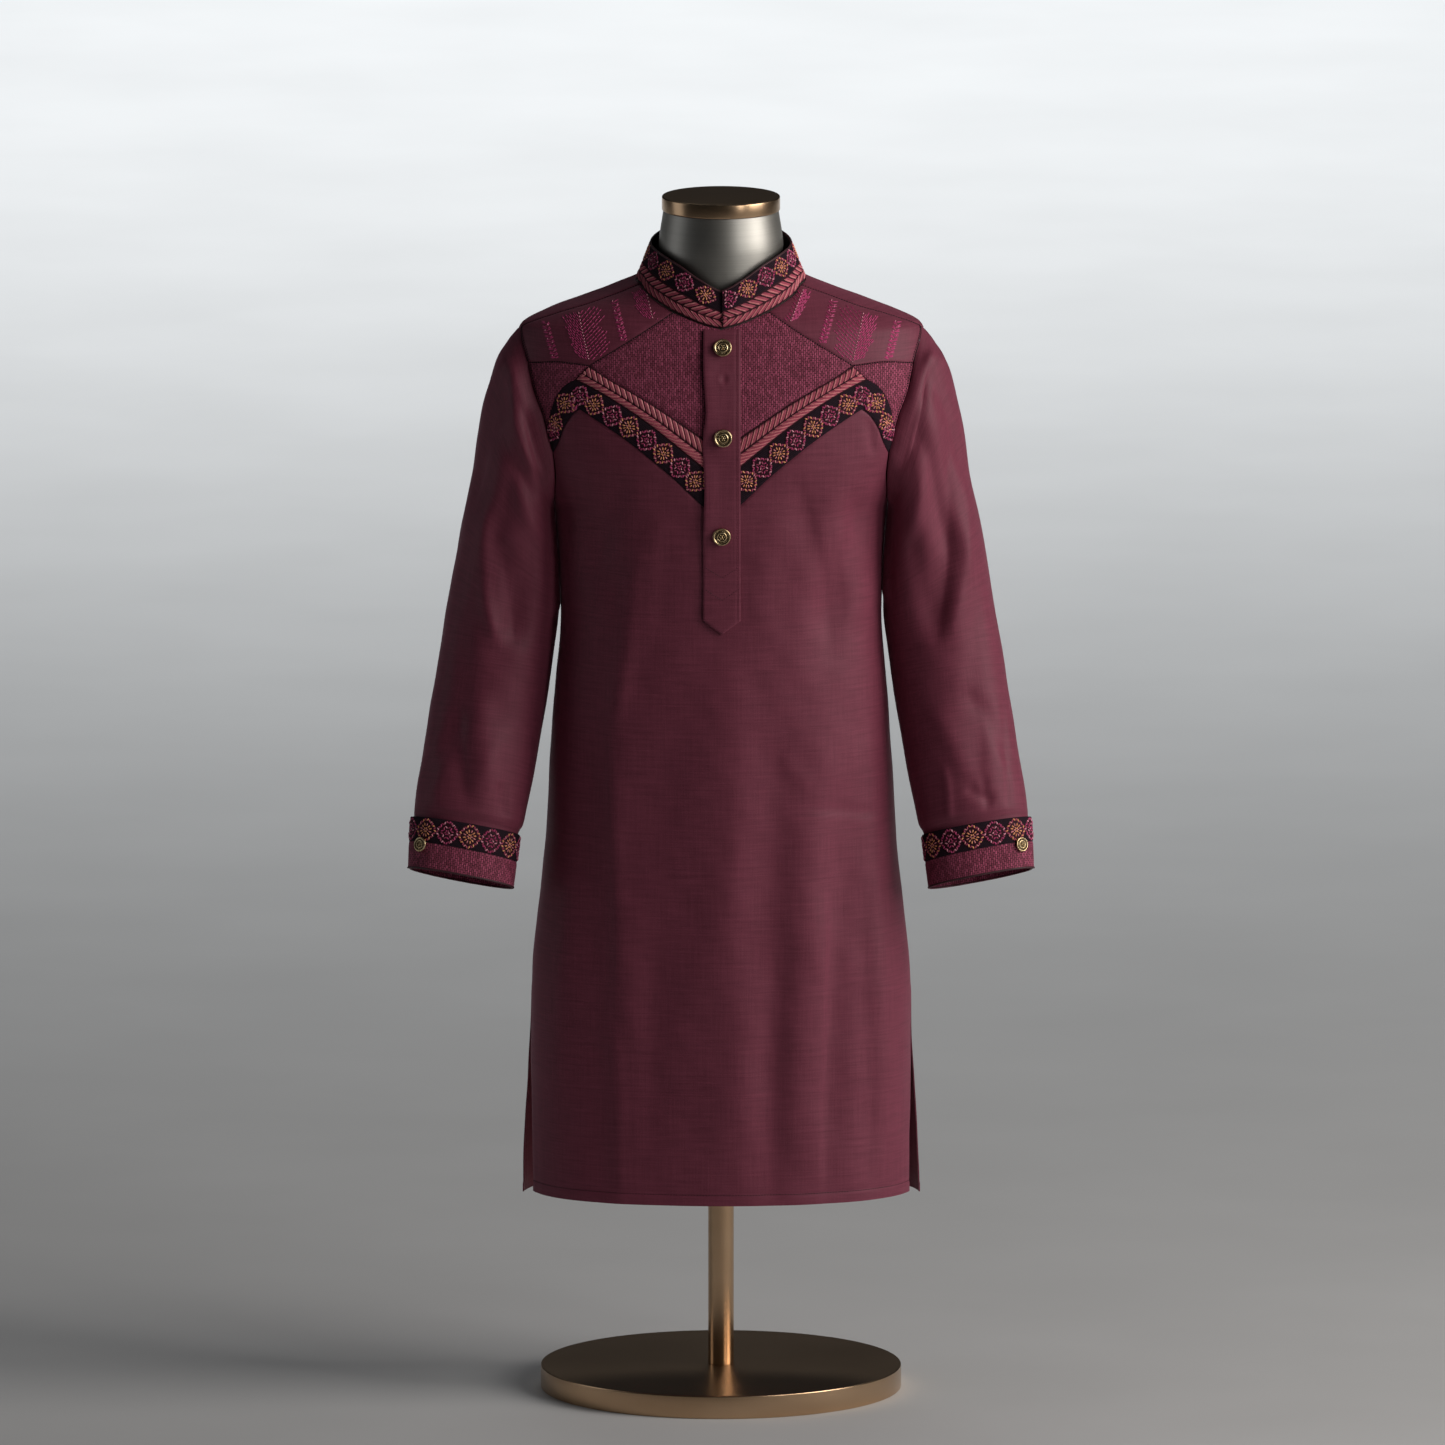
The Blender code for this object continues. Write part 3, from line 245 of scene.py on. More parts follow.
# The sleeves' largest folds: angle and ring at the start and at the end, depth
# in mm, half width in degrees
SLEEVE_FOLDS = (
    (62, 0.6, 20, 4.2, -6.0, 17),
    (40, 0.4, 2, 2.6, 2.5, 14),
    (96, 1.2, 58, 5.6, -4.0, 16),
    (76, 2.0, 44, 6.4, 3.0, 13),
    (120, 3.0, 92, 7.2, -3.0, 15),
    (40, 5.2, 70, 8.4, -2.4, 16),
    (70, 8.2, 30, 10.6, -2.6, 15),
    (110, 8.6, 84, 10.8, 2.0, 13),
    (-60, 0.8, -24, 4.4, -5.0, 18),
    (-96, 2.0, -64, 6.0, -3.6, 17),
    (-120, 5.0, -60, 7.6, 2.8, 18),
    (-40, 7.0, -74, 10.4, -3.0, 17),
)
LEFT_SLEEVE_FOLDS = (0.75, 0.5)
# How far down the right and the left sleeve lie against the body
RESTS_TO = {1: 836 * MM, -1: 820 * MM}
SLEEVE_PLAIN = 25
SLEEVE_PLAIN_BLEND = 40

# Finer creases, in mm: side (1 front, -1 back), start across and up, end across and
# up, bulge to the viewer's right on the way down, height (below 0 is a trough), and
# how far it spreads on its left and on its right
BODY_CREASES = (
    (1, 67, 1000, 110, 784, 16, -2.6, 18, 9),
    (1, 118, 948, 136, 810, 6, 2.0, 8, 18),
    (1, 130, 985, 160, 850, 4, -1.8, 10, 10),
    (1, 43, 945, 57, 684, 0, 1.2, 18, 18),
    (1, 153, 1050, 162, 1003, 0, -1.8, 5, 4),
    (1, 28, 946, 112, 942, 0, -0.8, 3, 2.5),
    (1, 82, 636, 172, 621, 0, -1.2, 4, 8),
    (1, 60, 690, 96, 655, 0, 1.0, 9, 9),
    (1, 109, 560, 101, 190, 0, 2.4, 16, 5),
    (1, 10, 838, 14, 160, 0, 5.4, 40, 26),
    (1, -82, 935, -114, 690, 0, 2.2, 12, 10),
    (1, -114, 730, -107, 400, 0, 1.6, 6, 12),
    (1, -100, 1000, -144, 855, 0, -2.2, 18, 14),
    (1, -64, 960, -88, 780, 0, 1.6, 14, 12),
    (1, -150, 690, -128, 648, 0, -1.2, 6, 6),
    (1, -112, 420, -104, 190, 0, 1.6, 12, 8),
    (1, -92, 820, -96, 300, 0, 0.8, 24, 24),
    (1, 150, 560, 158, 200, 0, -2.0, 12, 9),
    (1, 60, 520, 52, 190, 0, -1.6, 16, 16),
    (1, -70, 560, -78, 190, 0, -1.4, 14, 18),
    (-1, -150, 1000, -96, 880, 4, -4.0, 12, 9),
    (-1, 150, 1000, 92, 870, -5, -4.2, 12, 10),
    (-1, 132, 960, 96, 780, 0, 3.2, 11, 13),
    (-1, -126, 940, -100, 740, 0, 2.8, 13, 11),
    (-1, 22, 820, 12, 190, 0, -2.8, 18, 11),
    (-1, 96, 620, 104, 190, 0, 3.4, 8, 17),
    (-1, -52, 660, -60, 190, 0, 3.2, 15, 8),
    (-1, -118, 560, -124, 190, 0, -3.0, 12, 12),
    (-1, 44, 905, -48, 889, 0, -1.8, 6, 9),
    (-1, 64, 862, -20, 836, 0, 1.8, 7, 10),
    (-1, 150, 560, 160, 190, 0, -2.0, 12, 9),
)
RIGHT_SLEEVE_CREASES = (
    (1, 238, 1044, 222, 790, 10, -6.4, 20, 7),
    (1, 256, 1060, 238, 790, 12, 3.6, 7, 22),
    (1, 214, 1024, 190, 893, 6, 3.4, 9, 9),
    (1, 217, 1107, 184, 980, 9, -4.4, 13, 6),
    (1, 296, 757, 304, 612, 0, -1.2, 5, 3),
    (1, 234, 680, 243, 604, 0, 1.6, 6, 4),
    (1, 254, 652, 290, 637, 0, -1.8, 6, 6),
    (1, 276, 672, 281, 608, 0, -1.4, 5, 5),
    (1, 258, 770, 272, 640, 4, -2.6, 16, 10),
    (-1, 226, 1080, 190, 940, 4, -5.0, 11, 9),
    (-1, 246, 1010, 222, 820, 8, 3.8, 9, 15),
    (-1, 236, 860, 262, 740, 0, -3.8, 12, 9),
    (-1, 286, 760, 296, 620, 0, 2.6, 9, 7),
    (-1, 240, 690, 262, 612, 0, -2.8, 8, 8),
)
LEFT_SLEEVE_CREASES = (
    (1, -219, 1100, -180, 972, -14, 4.4, 9, 6),
    (1, -206, 1064, -178, 955, -4, -4.0, 6, 9),
    (1, -224, 1024, -185, 905, -5, 3.2, 10, 8),
    (1, -234, 1034, -192, 955, -4, -2.4, 8, 7),
    (1, -243, 960, -229, 786, -11, 4.4, 9, 7),
    (1, -226, 920, -206, 790, -6, -5.2, 10, 18),
    (1, -253, 768, -243, 618, 0, 3.0, 14, 14),
    (1, -280, 748, -266, 626, 0, -3.0, 13, 8),
    (1, -300, 720, -296, 612, 0, 1.2, 8, 8),
    (1, -236, 660, -222, 612, 0, -1.4, 6, 6),
    (-1, -226, 1080, -190, 950, -4, -4.6, 11, 9),
    (-1, -250, 1000, -226, 830, -8, 4.0, 13, 9),
    (-1, -240, 850, -260, 730, 0, -3.6, 11, 11),
    (-1, -288, 740, -298, 620, 0, 2.4, 8, 8),
    (-1, -246, 690, -266, 612, 0, -2.8, 8, 8),
)

# The chevrons of the braids: how far apart along the braid, how much each half's
# strokes lean, where the centre line is across, and the threads of a stroke
CHEVRON_PITCH = 7.5 * MM
COLLAR_PITCH = 8.6 * MM
CHEVRON_UPPER = 38 * DEGREE
CHEVRON_LOWER = 27 * DEGREE
BRAID_CENTRE = 0.46
BRAID_EDGE = 0.06
# The first, light salmon thread of each stroke is a painted highlight along the satin bar's ridge.
STROKE_THREADS = (
    ("salmon", 0.0, 2.0 * MM), ("coral", 1.9 * MM, 2.1 * MM), ("coral", 3.6 * MM, 1.7 * MM),
)

# Medallions of the front bands: mm across, colour
BAND_MEDALLIONS = (
    (27, "gold"), (43, "rose"), (60.5, "gold"), (78, "rose"), (96.5, "gold"), (114, "rose"),
    (133, "gold"), (149, "rose"), (163.5, "gold"), (173.5, "gold"), (176.6, "rose"),
)
COLLAR_MEDALLION_FIRST = (4.8, -12.4)
COLLAR_MEDALLION_STEP = (16.8, -18.2)
CUFF_MEDALLION_STEP = 24 * MM
CUFF_MEDALLION_FRONT = 98

# The yokes' embroidery, in mm: its top and its bottom across and up, then a
# ladder's half width or how far a feather's barbs reach on its left and on its right
YOKE_MOTIFS = (
    ("ladder", (-185, 1143), (-173.8, 1107), 4.6),
    ("feather", (-149.8, 1155), (-138.4, 1107.5), 23, 21),
    ("ladder", (-111.9, 1165), (-101.3, 1127.5), 4.4),
    ("feather", (-77.7, 1172), (-71.4, 1149.5), 22, 5),
    ("feather", (86.4, 1175.5), (72.4, 1147.5), 9, 19),
    ("ladder", (118.2, 1164.5), (105.8, 1126), 5),
    ("feather", (150, 1155), (137.7, 1106.5), 21, 23),
    ("ladder", (185.1, 1142), (175.3, 1106.5), 4.8),
)

# How far the stitches stay inside the yokes' seams and from the neck's middle, in mm
YOKE_MARGIN = 2.2
YOKE_NECK_CLEAR = 79

# Heights in mm of the stitches across the placket's foot
BOX_STITCHES = (881, 857)

# Looks: linear colours
CLOTH_DARK = (0.11, 0.02, 0.037)
CLOTH_LIGHT = (0.25, 0.052, 0.089)


def smooth_curve(rows, column):
    """A smooth function of height through one column, with no overshoot."""
    at = np.array([row[0] for row in rows]) * MM
    values = np.array([row[column] for row in rows]) * MM
    steps = np.diff(at)
    rises = np.diff(values) / steps
    slopes = np.zeros(len(at))
    slopes[0], slopes[-1] = rises[0], rises[-1]
    for k in range(1, len(at) - 1):
        d0, d1 = rises[k - 1], rises[k]
        if d0 * d1 > 0:
            w0, w1 = 2 * steps[k] + steps[k - 1], steps[k] + 2 * steps[k - 1]
            slopes[k] = (w0 + w1) / (w0 / d0 + w1 / d1)

    def value(height):
        height = np.clip(height, at[0], at[-1])
        k = np.clip(np.searchsorted(at, height, side="right") - 1, 0, len(steps) - 1)
        h = steps[k]
        s = (height - at[k]) / h
        return (
            (1 + 2 * s) * (1 - s) ** 2 * values[k]
            + s * (1 - s) ** 2 * h * slopes[k]
            + s * s * (3 - 2 * s) * values[k + 1]
            + s * s * (s - 1) * h * slopes[k + 1]
        )

    return value


half_width = smooth_curve(BODY_SECTIONS, 1)
front_depth = smooth_curve(BODY_SECTIONS, 2)
back_depth = smooth_curve(BODY_SECTIONS, 3)


def ease(t):
    t = np.clip(t, 0.0, 1.0)
    return t * t * (3 - 2 * t)


def squareness(height):
    (low, square), (high, plain) = BODY_SQUARENESS
    return square + (plain - square) * ease((height / MM - low) / (high - low))


def bent(value, power):
    return np.sign(value) * np.abs(value) ** power


def plain_body(angle, height):
    angle, height = np.broadcast_arrays(np.asarray(angle, float), np.asarray(height, float))
    s, c = np.sin(angle), np.cos(angle)
    below = ease((SLIT_TOP - height) / (SLIT_TOP - BACK_HEM))
    half = half_width(height) + np.where(c < 0, BACK_SLIT_FLARE * below, 0.0)
    depth = np.where(c > 0, front_depth(height), back_depth(height))
    power = 2 / squareness(height)
    return np.stack((half * bent(s, power), -depth * bent(c, power), height), -1)


def unit(v):
    return v / np.maximum(np.linalg.norm(v, axis=-1, keepdims=True), 1e-12)


def body_normal(angle, height, step=2e-3):
    around = plain_body(angle + step, height) - plain_body(angle - step, height)
    up = plain_body(angle, height + step) - plain_body(angle, height - step)
    return unit(np.cross(around, up))


def fold_height(x, z, fold):
    """How far one large fold moves points that lie across and up from it."""
    _, x0, z0, x1, z1, depth, width = fold
    ax, az, rx, rz = x0 * MM, z0 * MM, (x1 - x0) * MM, (z1 - z0) * MM
    along = ((x - ax) * rx + (z - az) * rz) / (rx * rx + rz * rz)
    t = np.clip(along, 0, 1)
    away = np.hypot(x - ax - rx * t, z - az - rz * t) / (width * MM)
    ends = FOLD_END + (1 - FOLD_END) * ease(np.minimum(t, 1 - t) * 4)
    return depth * MM * ends * np.exp(-away * away * BODY_FOLD_FALL)


def crease_height(x, z, crease):
    """How far one fine crease, softer on one side than the other, moves points."""
    _, x0, z0, x1, z1, bulge, height, left, right = crease
    ax, az, rx, rz = x0 * MM, z0 * MM, (x1 - x0) * MM, (z1 - z0) * MM
    length = math.hypot(rx, rz)
    t = ((x - ax) * rx + (z - az) * rz) / length ** 2
    off = ((z - az) * rx - (x - ax) * rz) / length
    inside = np.clip(t, 0, 1)
    off = off - bulge * MM * 4 * inside * (1 - inside)
    off = off + 0.16 * min(left, right) * MM * np.sin(9 * t + x0)
    off = off / (np.where(off < 0, left, right) * MM)
    fade = ease(t / 0.24) * ease((1 - t) / 0.24)
    return height * MM * fade * np.exp(-off * off)


def ripple(x, z, y=0.0):
    """The slight unevenness of hanging cloth."""
    a = np.sin(x * 61 + z * 17 + 1.1) * np.sin(z * 43 - x * 23 + 0.4)
    b = np.sin(x * 127 + z * 39 + 2.3 + y * 40) * np.sin(z * 71 + x * 31)
    return (0.42 * a + 0.2 * b) * MM


def body_relief(angle, height):
    point = plain_body(angle, height)
    x, z = point[..., 0], point[..., 2]
    front = np.cos(angle) > 0
    edge = ease(np.abs(np.cos(angle)) / 0.35)
    total = np.zeros(x.shape)
    for fold in BODY_FOLDS:
        total += np.where(front == (fold[0] > 0), fold_height(x, z, fold), 0) * edge
    for crease in BODY_CREASES:
        total += np.where(front == (crease[0] > 0), crease_height(x, z, crease), 0) * edge
    total += ripple(x, z, point[..., 1])
    under = ease((30 * MM - np.abs(x - MM)) / (9 * MM)) * ease((z - 805 * MM) / (12 * MM))
    calm = np.where(front, under, 0)
    return total * (1 - calm) + np.minimum(total, 0.6 * MM) * calm


def body_surface(angle, height, proud=0.0):
    """Points of the creased body, and the plain body's normals there."""
    normal = body_normal(angle, height)
    out = body_relief(angle, height) + proud
    return plain_body(angle, height) + normal * out[..., None], normal


def angle_across(x, height):
    """The front angle at which the body's section is x across."""
    share = np.minimum(np.abs(x) / half_width(height), 1.0) ** (squareness(height) / 2)
    return np.sign(x) * np.arcsin(share)


def spline(points, steps=72):
    """Evenly spaced points on a smooth curve through the given ones."""
    points = [np.array(p, float) for p in points]
    ghost = [2 * points[0] - points[1]] + points + [2 * points[-1] - points[-2]]
    fine = [points[0]]
    for a, b, c, d in zip(ghost, ghost[1:], ghost[2:], ghost[3:]):
        for i in range(1, 13):
            t = i / 12
            fine.append(
                0.5 * (2 * b + (c - a) * t + (2 * a - 5 * b + 4 * c - d) * t * t
                       + (3 * b - 3 * c + d - a) * t ** 3)
            )
    fine = np.array(fine)
    run = np.concatenate(([0], np.cumsum(np.linalg.norm(np.diff(fine, axis=0), axis=1))))
    at = np.linspace(0, run[-1], steps + 1)
    return np.stack([np.interp(at, run, fine[:, k]) for k in range(fine.shape[1])], -1)


def seam(points):
    """A front seam as (angle, height) pairs, from its points across and up."""
    line = spline(points) * MM
    return np.stack((angle_across(line[:, 0], line[:, 1]), line[:, 1]), -1)


def turned_seam(points):
    """A seam from its angles in degrees and heights in mm."""
    return spline(points) * np.array((DEGREE, MM))


def across_at(place):
    point = plain_body(place[0] * DEGREE, place[1] * MM) / MM
    return (float(point[0]), place[1])


def along(lines, t, shares=(1,)):
    """Points at t, from 0 to 1, of one seam or of several end to end."""
    lines = lines if isinstance(lines, (list, tuple)) else [lines]
    edges = np.concatenate(([0], np.cumsum(shares))) / sum(shares)
    out = np.zeros(t.shape + (2,))
    for line, start, end in zip(lines, edges, edges[1:]):
        part = (t >= start) & (t <= end)
        at = (t[part] - start) / (end - start) * (len(line) - 1)
        for k in (0, 1):
            out[part, k] = np.interp(at, np.arange(len(line)), line[:, k])
    return out


def crowded(count, length, close=(0.25, 0.8, 1.8)):
    """Steps from 0 to 1, even but for a few close to both ends of a length in mm."""
    near = [c / length for c in close]
    middle = np.linspace(0, 1, count + 1)[1:-1]
    middle = middle[(middle > near[-1] * 1.4) & (middle < 1 - near[-1] * 1.4)]
    return np.array([0.0] + near + list(middle) + [1 - n for n in reversed(near)] + [1.0])


def patch(bottom, top, left, right, u, v):
    """A Coons patch between four edges sampled at u and v: rows from bottom to top."""
    u, v = u[None, :, None], v[:, None, None]
    across = (1 - u) * left[:, None] + u * right[:, None]
    upward = (1 - v) * bottom[None] + v * top[None]
    corners = (
        (1 - u) * (1 - v) * bottom[0] + u * (1 - v) * bottom[-1]
        + (1 - u) * v * top[0] + u * v * top[-1]
    )
    return across + upward - corners


SEAMS = {
    "neck_front": seam(NECK_FRONT),
    "neck_side": seam(NECK_SIDE + (across_at(SHOULDER_SEAM[0]),)),
    "shoulder": turned_seam(SHOULDER_SEAM),
    "yoke_rise": seam(YOKE_RISE),
    "yoke_side": seam(YOKE_SIDE + (across_at(ARMHOLE_YOKE[0]),)),
    "armhole_yoke": turned_seam(ARMHOLE_YOKE),
    "armhole_side": turned_seam(ARMHOLE_SIDE),
    "armhole_band": turned_seam(ARMHOLE_BAND),
    "armhole_lower": turned_seam(ARMHOLE_LOWER),
    "armhole_back": turned_seam(ARMHOLE_BACK),
    "braid_top": seam(BRAID_TOP),
    "braid_low": seam(BRAID_LOW),
    "braid_end": seam(BRAID_END),
    "leg_outer": seam(LEG_OUTER + (across_at(ARMHOLE_SIDE[0]),)),
    "band_low": seam(BAND_LOW),
    "leg_inner": seam(LEG_INNER + (across_at(ARMHOLE_LOWER[0]),)),
}


class Surface:
    """A grid of points with normals, read at metres along its columns and a share up."""

    def __init__(self, points, normals):
        self.points, self.normals = points, normals
        middle = points[len(points) // 2]
        steps = np.linalg.norm(np.diff(middle, axis=0), axis=1)
        self.run = np.concatenate(([0], np.cumsum(steps)))
        self.length = float(self.run[-1])
        left = points[:, points.shape[1] // 2]
        self.height = float(np.linalg.norm(np.diff(left, axis=0), axis=1).sum())
        rise = np.linalg.norm(np.diff(left, axis=0), axis=1)
        self.rise = np.concatenate(([0], np.cumsum(rise))) / self.height

    def at(self, s, v):
        s, v = np.broadcast_arrays(np.asarray(s, float), np.asarray(v, float))
        j = np.interp(s, self.run, np.arange(len(self.run)))
        i = np.interp(v, self.rise, np.arange(len(self.rise)))
        j0 = np.clip(j.astype(int), 0, len(self.run) - 2)
        i0 = np.clip(i.astype(int), 0, len(self.rise) - 2)
        a, b = (i - i0)[..., None], (j - j0)[..., None]

        def blend(grid):
            low = grid[i0, j0] * (1 - b) + grid[i0, j0 + 1] * b
            high = grid[i0 + 1, j0] * (1 - b) + grid[i0 + 1, j0 + 1] * b
            return low * (1 - a) + high * a

        return blend(self.points), unit(blend(self.normals))

    def frame(self, s, v, step=1.5 * MM):
        """At places: metres along for each unit of s, and metres along and across for v."""
        s, v = np.broadcast_arrays(np.asarray(s, float), np.asarray(v, float))
        s = np.clip(s, 0, self.length)
        share = step / self.height
        s0, s1 = np.clip(s - step, 0, self.length), np.clip(s + step, 0, self.length)
        v0, v1 = np.clip(v - share, 0, 1), np.clip(v + share, 0, 1)
        ds = (self.at(s1, v)[0] - self.at(s0, v)[0]) / (s1 - s0)[..., None]
        dv = (self.at(s, v1)[0] - self.at(s, v0)[0]) / (v1 - v0)[..., None]
        forward = unit(ds)
        up = np.cross(self.at(s, v)[1], forward)
        up = up * np.sign((up * dv).sum(-1, keepdims=True))
        return (ds * forward).sum(-1), (dv * forward).sum(-1), (dv * up).sum(-1)

    def moved(self, s, v, onward, across):
        """(s, v) of the places some metres onward and across from given ones."""
        stretch, shear, rise = self.frame(s, v)
        b = across / rise
        return np.stack((s + (onward - b * shear) / stretch, v + b), -1)

    def weave(self):
        """Metres along the columns and up the rows, for the cloth's pattern."""
        rows, columns = self.points.shape[:2]
        s = np.repeat(self.run[None], rows, 0)
        return np.stack((s, np.repeat((self.rise * self.height)[:, None], columns, 1)), -1)


def edge_gaps(points):
    """How far each point of a grid is from the bottom, top, left and right edges."""
    def run(axis):
        steps = np.linalg.norm(np.diff(points, axis=axis), axis=2)
        start = np.zeros_like(points[:1, :, 0] if axis == 0 else points[:, :1, 0])
        return np.concatenate((start, np.cumsum(steps, axis=axis)), axis=axis)

    up, side = run(0), run(1)
    return up, up[-1:] - up, side, side[:, -1:] - side


def mesh_object(name, points, faces, kind, weave=None, around=None):
    mesh = bpy.data.meshes.new(name)
    sizes = np.array([len(f) for f in faces], np.int32)
    flat = np.concatenate([np.asarray(f, np.int32) for f in faces]) if len(set(sizes)) > 1 \
        else np.asarray(faces, np.int32).ravel()
    mesh.vertices.add(len(points))
    mesh.vertices.foreach_set("co", np.asarray(points, np.float32).ravel())
    mesh.loops.add(len(flat))
    mesh.loops.foreach_set("vertex_index", flat)
    mesh.polygons.add(len(sizes))
    mesh.polygons.foreach_set("loop_start", np.concatenate(([0], np.cumsum(sizes)[:-1])).astype(np.int32))
    mesh.update(calc_edges=True)
    mesh.validate()
    if weave is not None:
        layer = mesh.uv_layers.new(name="Weave")
        uv = np.asarray(weave, np.float32)[flat]
        if around is not None:
            # a tube's last column goes on past the whole turn, not back to its start
            across = uv[:, 0].reshape(-1, 4)
            back = across < across.max(1, keepdims=True) - 0.15
            uv[:, 0] += (back * np.asarray(around)[flat].reshape(-1, 4)).ravel()
        layer.data.foreach_set("uv", uv.ravel())
    mesh.shade_smooth()
    mesh.set_sharp_from_angle(angle=50 * DEGREE)
    mesh.materials.append(MATERIALS[kind])
    made = bpy.data.objects.new(name, mesh)
    bpy.context.scene.collection.objects.link(made)
    return made


def grid_faces(rows, columns, ring, start=0, flip=False):
    i, j = np.meshgrid(np.arange(rows - 1), np.arange(columns if ring else columns - 1), indexing="ij")
    k = (j + 1) % columns
    quads = np.stack((i * columns + j, i * columns + k, (i + 1) * columns + k, (i + 1) * columns + j), -1)
    quads = quads.reshape(-1, 4) + start
    return quads[:, ::-1] if flip else quads


def cloth_shell(name, points, normals, kind, weave, ring=False, around=None):
    """A thin closed shell of cloth under a grid of points."""
    rows, columns = points.shape[:2]
    inner = points - normals * SHELL
    around = np.roll(points, -1, 1) - points
    upward = np.gradient(points, axis=0)
    flip = float((np.cross(around, upward)[:, :-1] * normals[:, :-1]).sum()) < 0
    count = rows * columns
    faces = [grid_faces(rows, columns, ring, 0, flip), grid_faces(rows, columns, ring, count, not flip)]

    def rim(line):
        line = np.asarray(line)
        quads = np.stack((line[1:], line[:-1], line[:-1] + count, line[1:] + count), -1)
        return quads[:, ::-1] if flip else quads

    bottom = np.arange(columns)
    top = bottom[::-1] + (rows - 1) * columns
    if ring:
        faces += [rim(np.append(bottom, 0)), rim(np.append(top, top[0]))]
    else:
        left = np.arange(rows)[::-1] * columns
        right = np.arange(rows) * columns + columns - 1
        faces += [rim(bottom), rim(top), rim(left), rim(right)]
    both = np.concatenate((points.reshape(-1, 3), inner.reshape(-1, 3)))
    uv = np.concatenate((weave.reshape(-1, 2), weave.reshape(-1, 2)))
    if around is not None:
        around = np.tile(np.repeat(around, columns), 2)
    return mesh_object(name, both, np.concatenate(faces), kind, uv, around)


# Thread strokes, gathered by colour and made into meshes at the end
STROKES = {}
STROKE_AT = np.array((0.0, 0.16, 0.5, 0.84, 1.0))


def stroke(thread, surface, a, b, width, height, lift=0.0):
    """Strokes from (s, v) pairs a to b on a surface, a thread's width and height."""
    a, b = np.atleast_2d(a), np.atleast_2d(b)
    t = STROKE_AT[None, :, None]
    path = a[:, None] * (1 - t) + b[:, None] * t
    points, normals = surface.at(path[..., 0], path[..., 1])
    add_strokes(thread, points + normals * lift, normals, width, height)


def add_strokes(thread, points, normals, width, height):
    size = np.ones(len(points))
    STROKES.setdefault(thread, []).append((points, normals, size * width, size * height))


def make_strokes():
    for thread, groups in STROKES.items():
        points = np.concatenate([g[0] for g in groups])
        normals = np.concatenate([g[1] for g in groups])
        width = np.concatenate([g[2] for g in groups])[:, None, None]
        height = np.concatenate([g[3] for g in groups])[:, None, None]
        along_it = unit(np.gradient(points, axis=1))
        side = unit(np.cross(normals, along_it))
        n = len(points)
        verts = np.zeros((n, 11, 3))
        verts[:, 0], verts[:, 10] = points[:, 0], points[:, 4]
        for k, share in ((1, 0.85), (2, 1.0), (3, 0.85)):
            for c, (across, up) in enumerate(((-0.5, 0), (0, 1.0), (0.5, 0))):
                verts[:, 1 + (k - 1) * 3 + c] = (
                    points[:, k] + side[:, k] * across * share * width[:, 0]
                    + normals[:, k] * up * share * height[:, 0]
                )
        quads, tris = [], []
        for c in range(2):
            tris.append((0, 1 + c, 2 + c))
            tris.append((10, 8 + c, 7 + c))
            for k in (0, 1):
                p = 1 + k * 3 + c
                quads.append((p, p + 3, p + 4, p + 1))
        start = (np.arange(n) * 11)[:, None, None]
        faces = list((np.array(quads)[None] + start).reshape(-1, 4))
        faces += list((np.array(tris)[None] + start).reshape(-1, 3))
        run = np.linalg.norm(points[:, 4] - points[:, 0], axis=1)
        uv = np.zeros((n, 11, 2))
        places = [(0.5, 0)] + [(c / 2, k) for k in (0.16, 0.5, 0.84) for c in range(3)] + [(0.5, 1)]
        for p, (u, v) in enumerate(places):
            uv[:, p, 0] = u * width[:, 0, 0] + np.arange(n) * 0.0137
            uv[:, p, 1] = v * run
        made = mesh_object(f"thread_{thread}", verts.reshape(-1, 3), faces, f"thread_{thread}", uv.reshape(-1, 2))
        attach(made, "root")


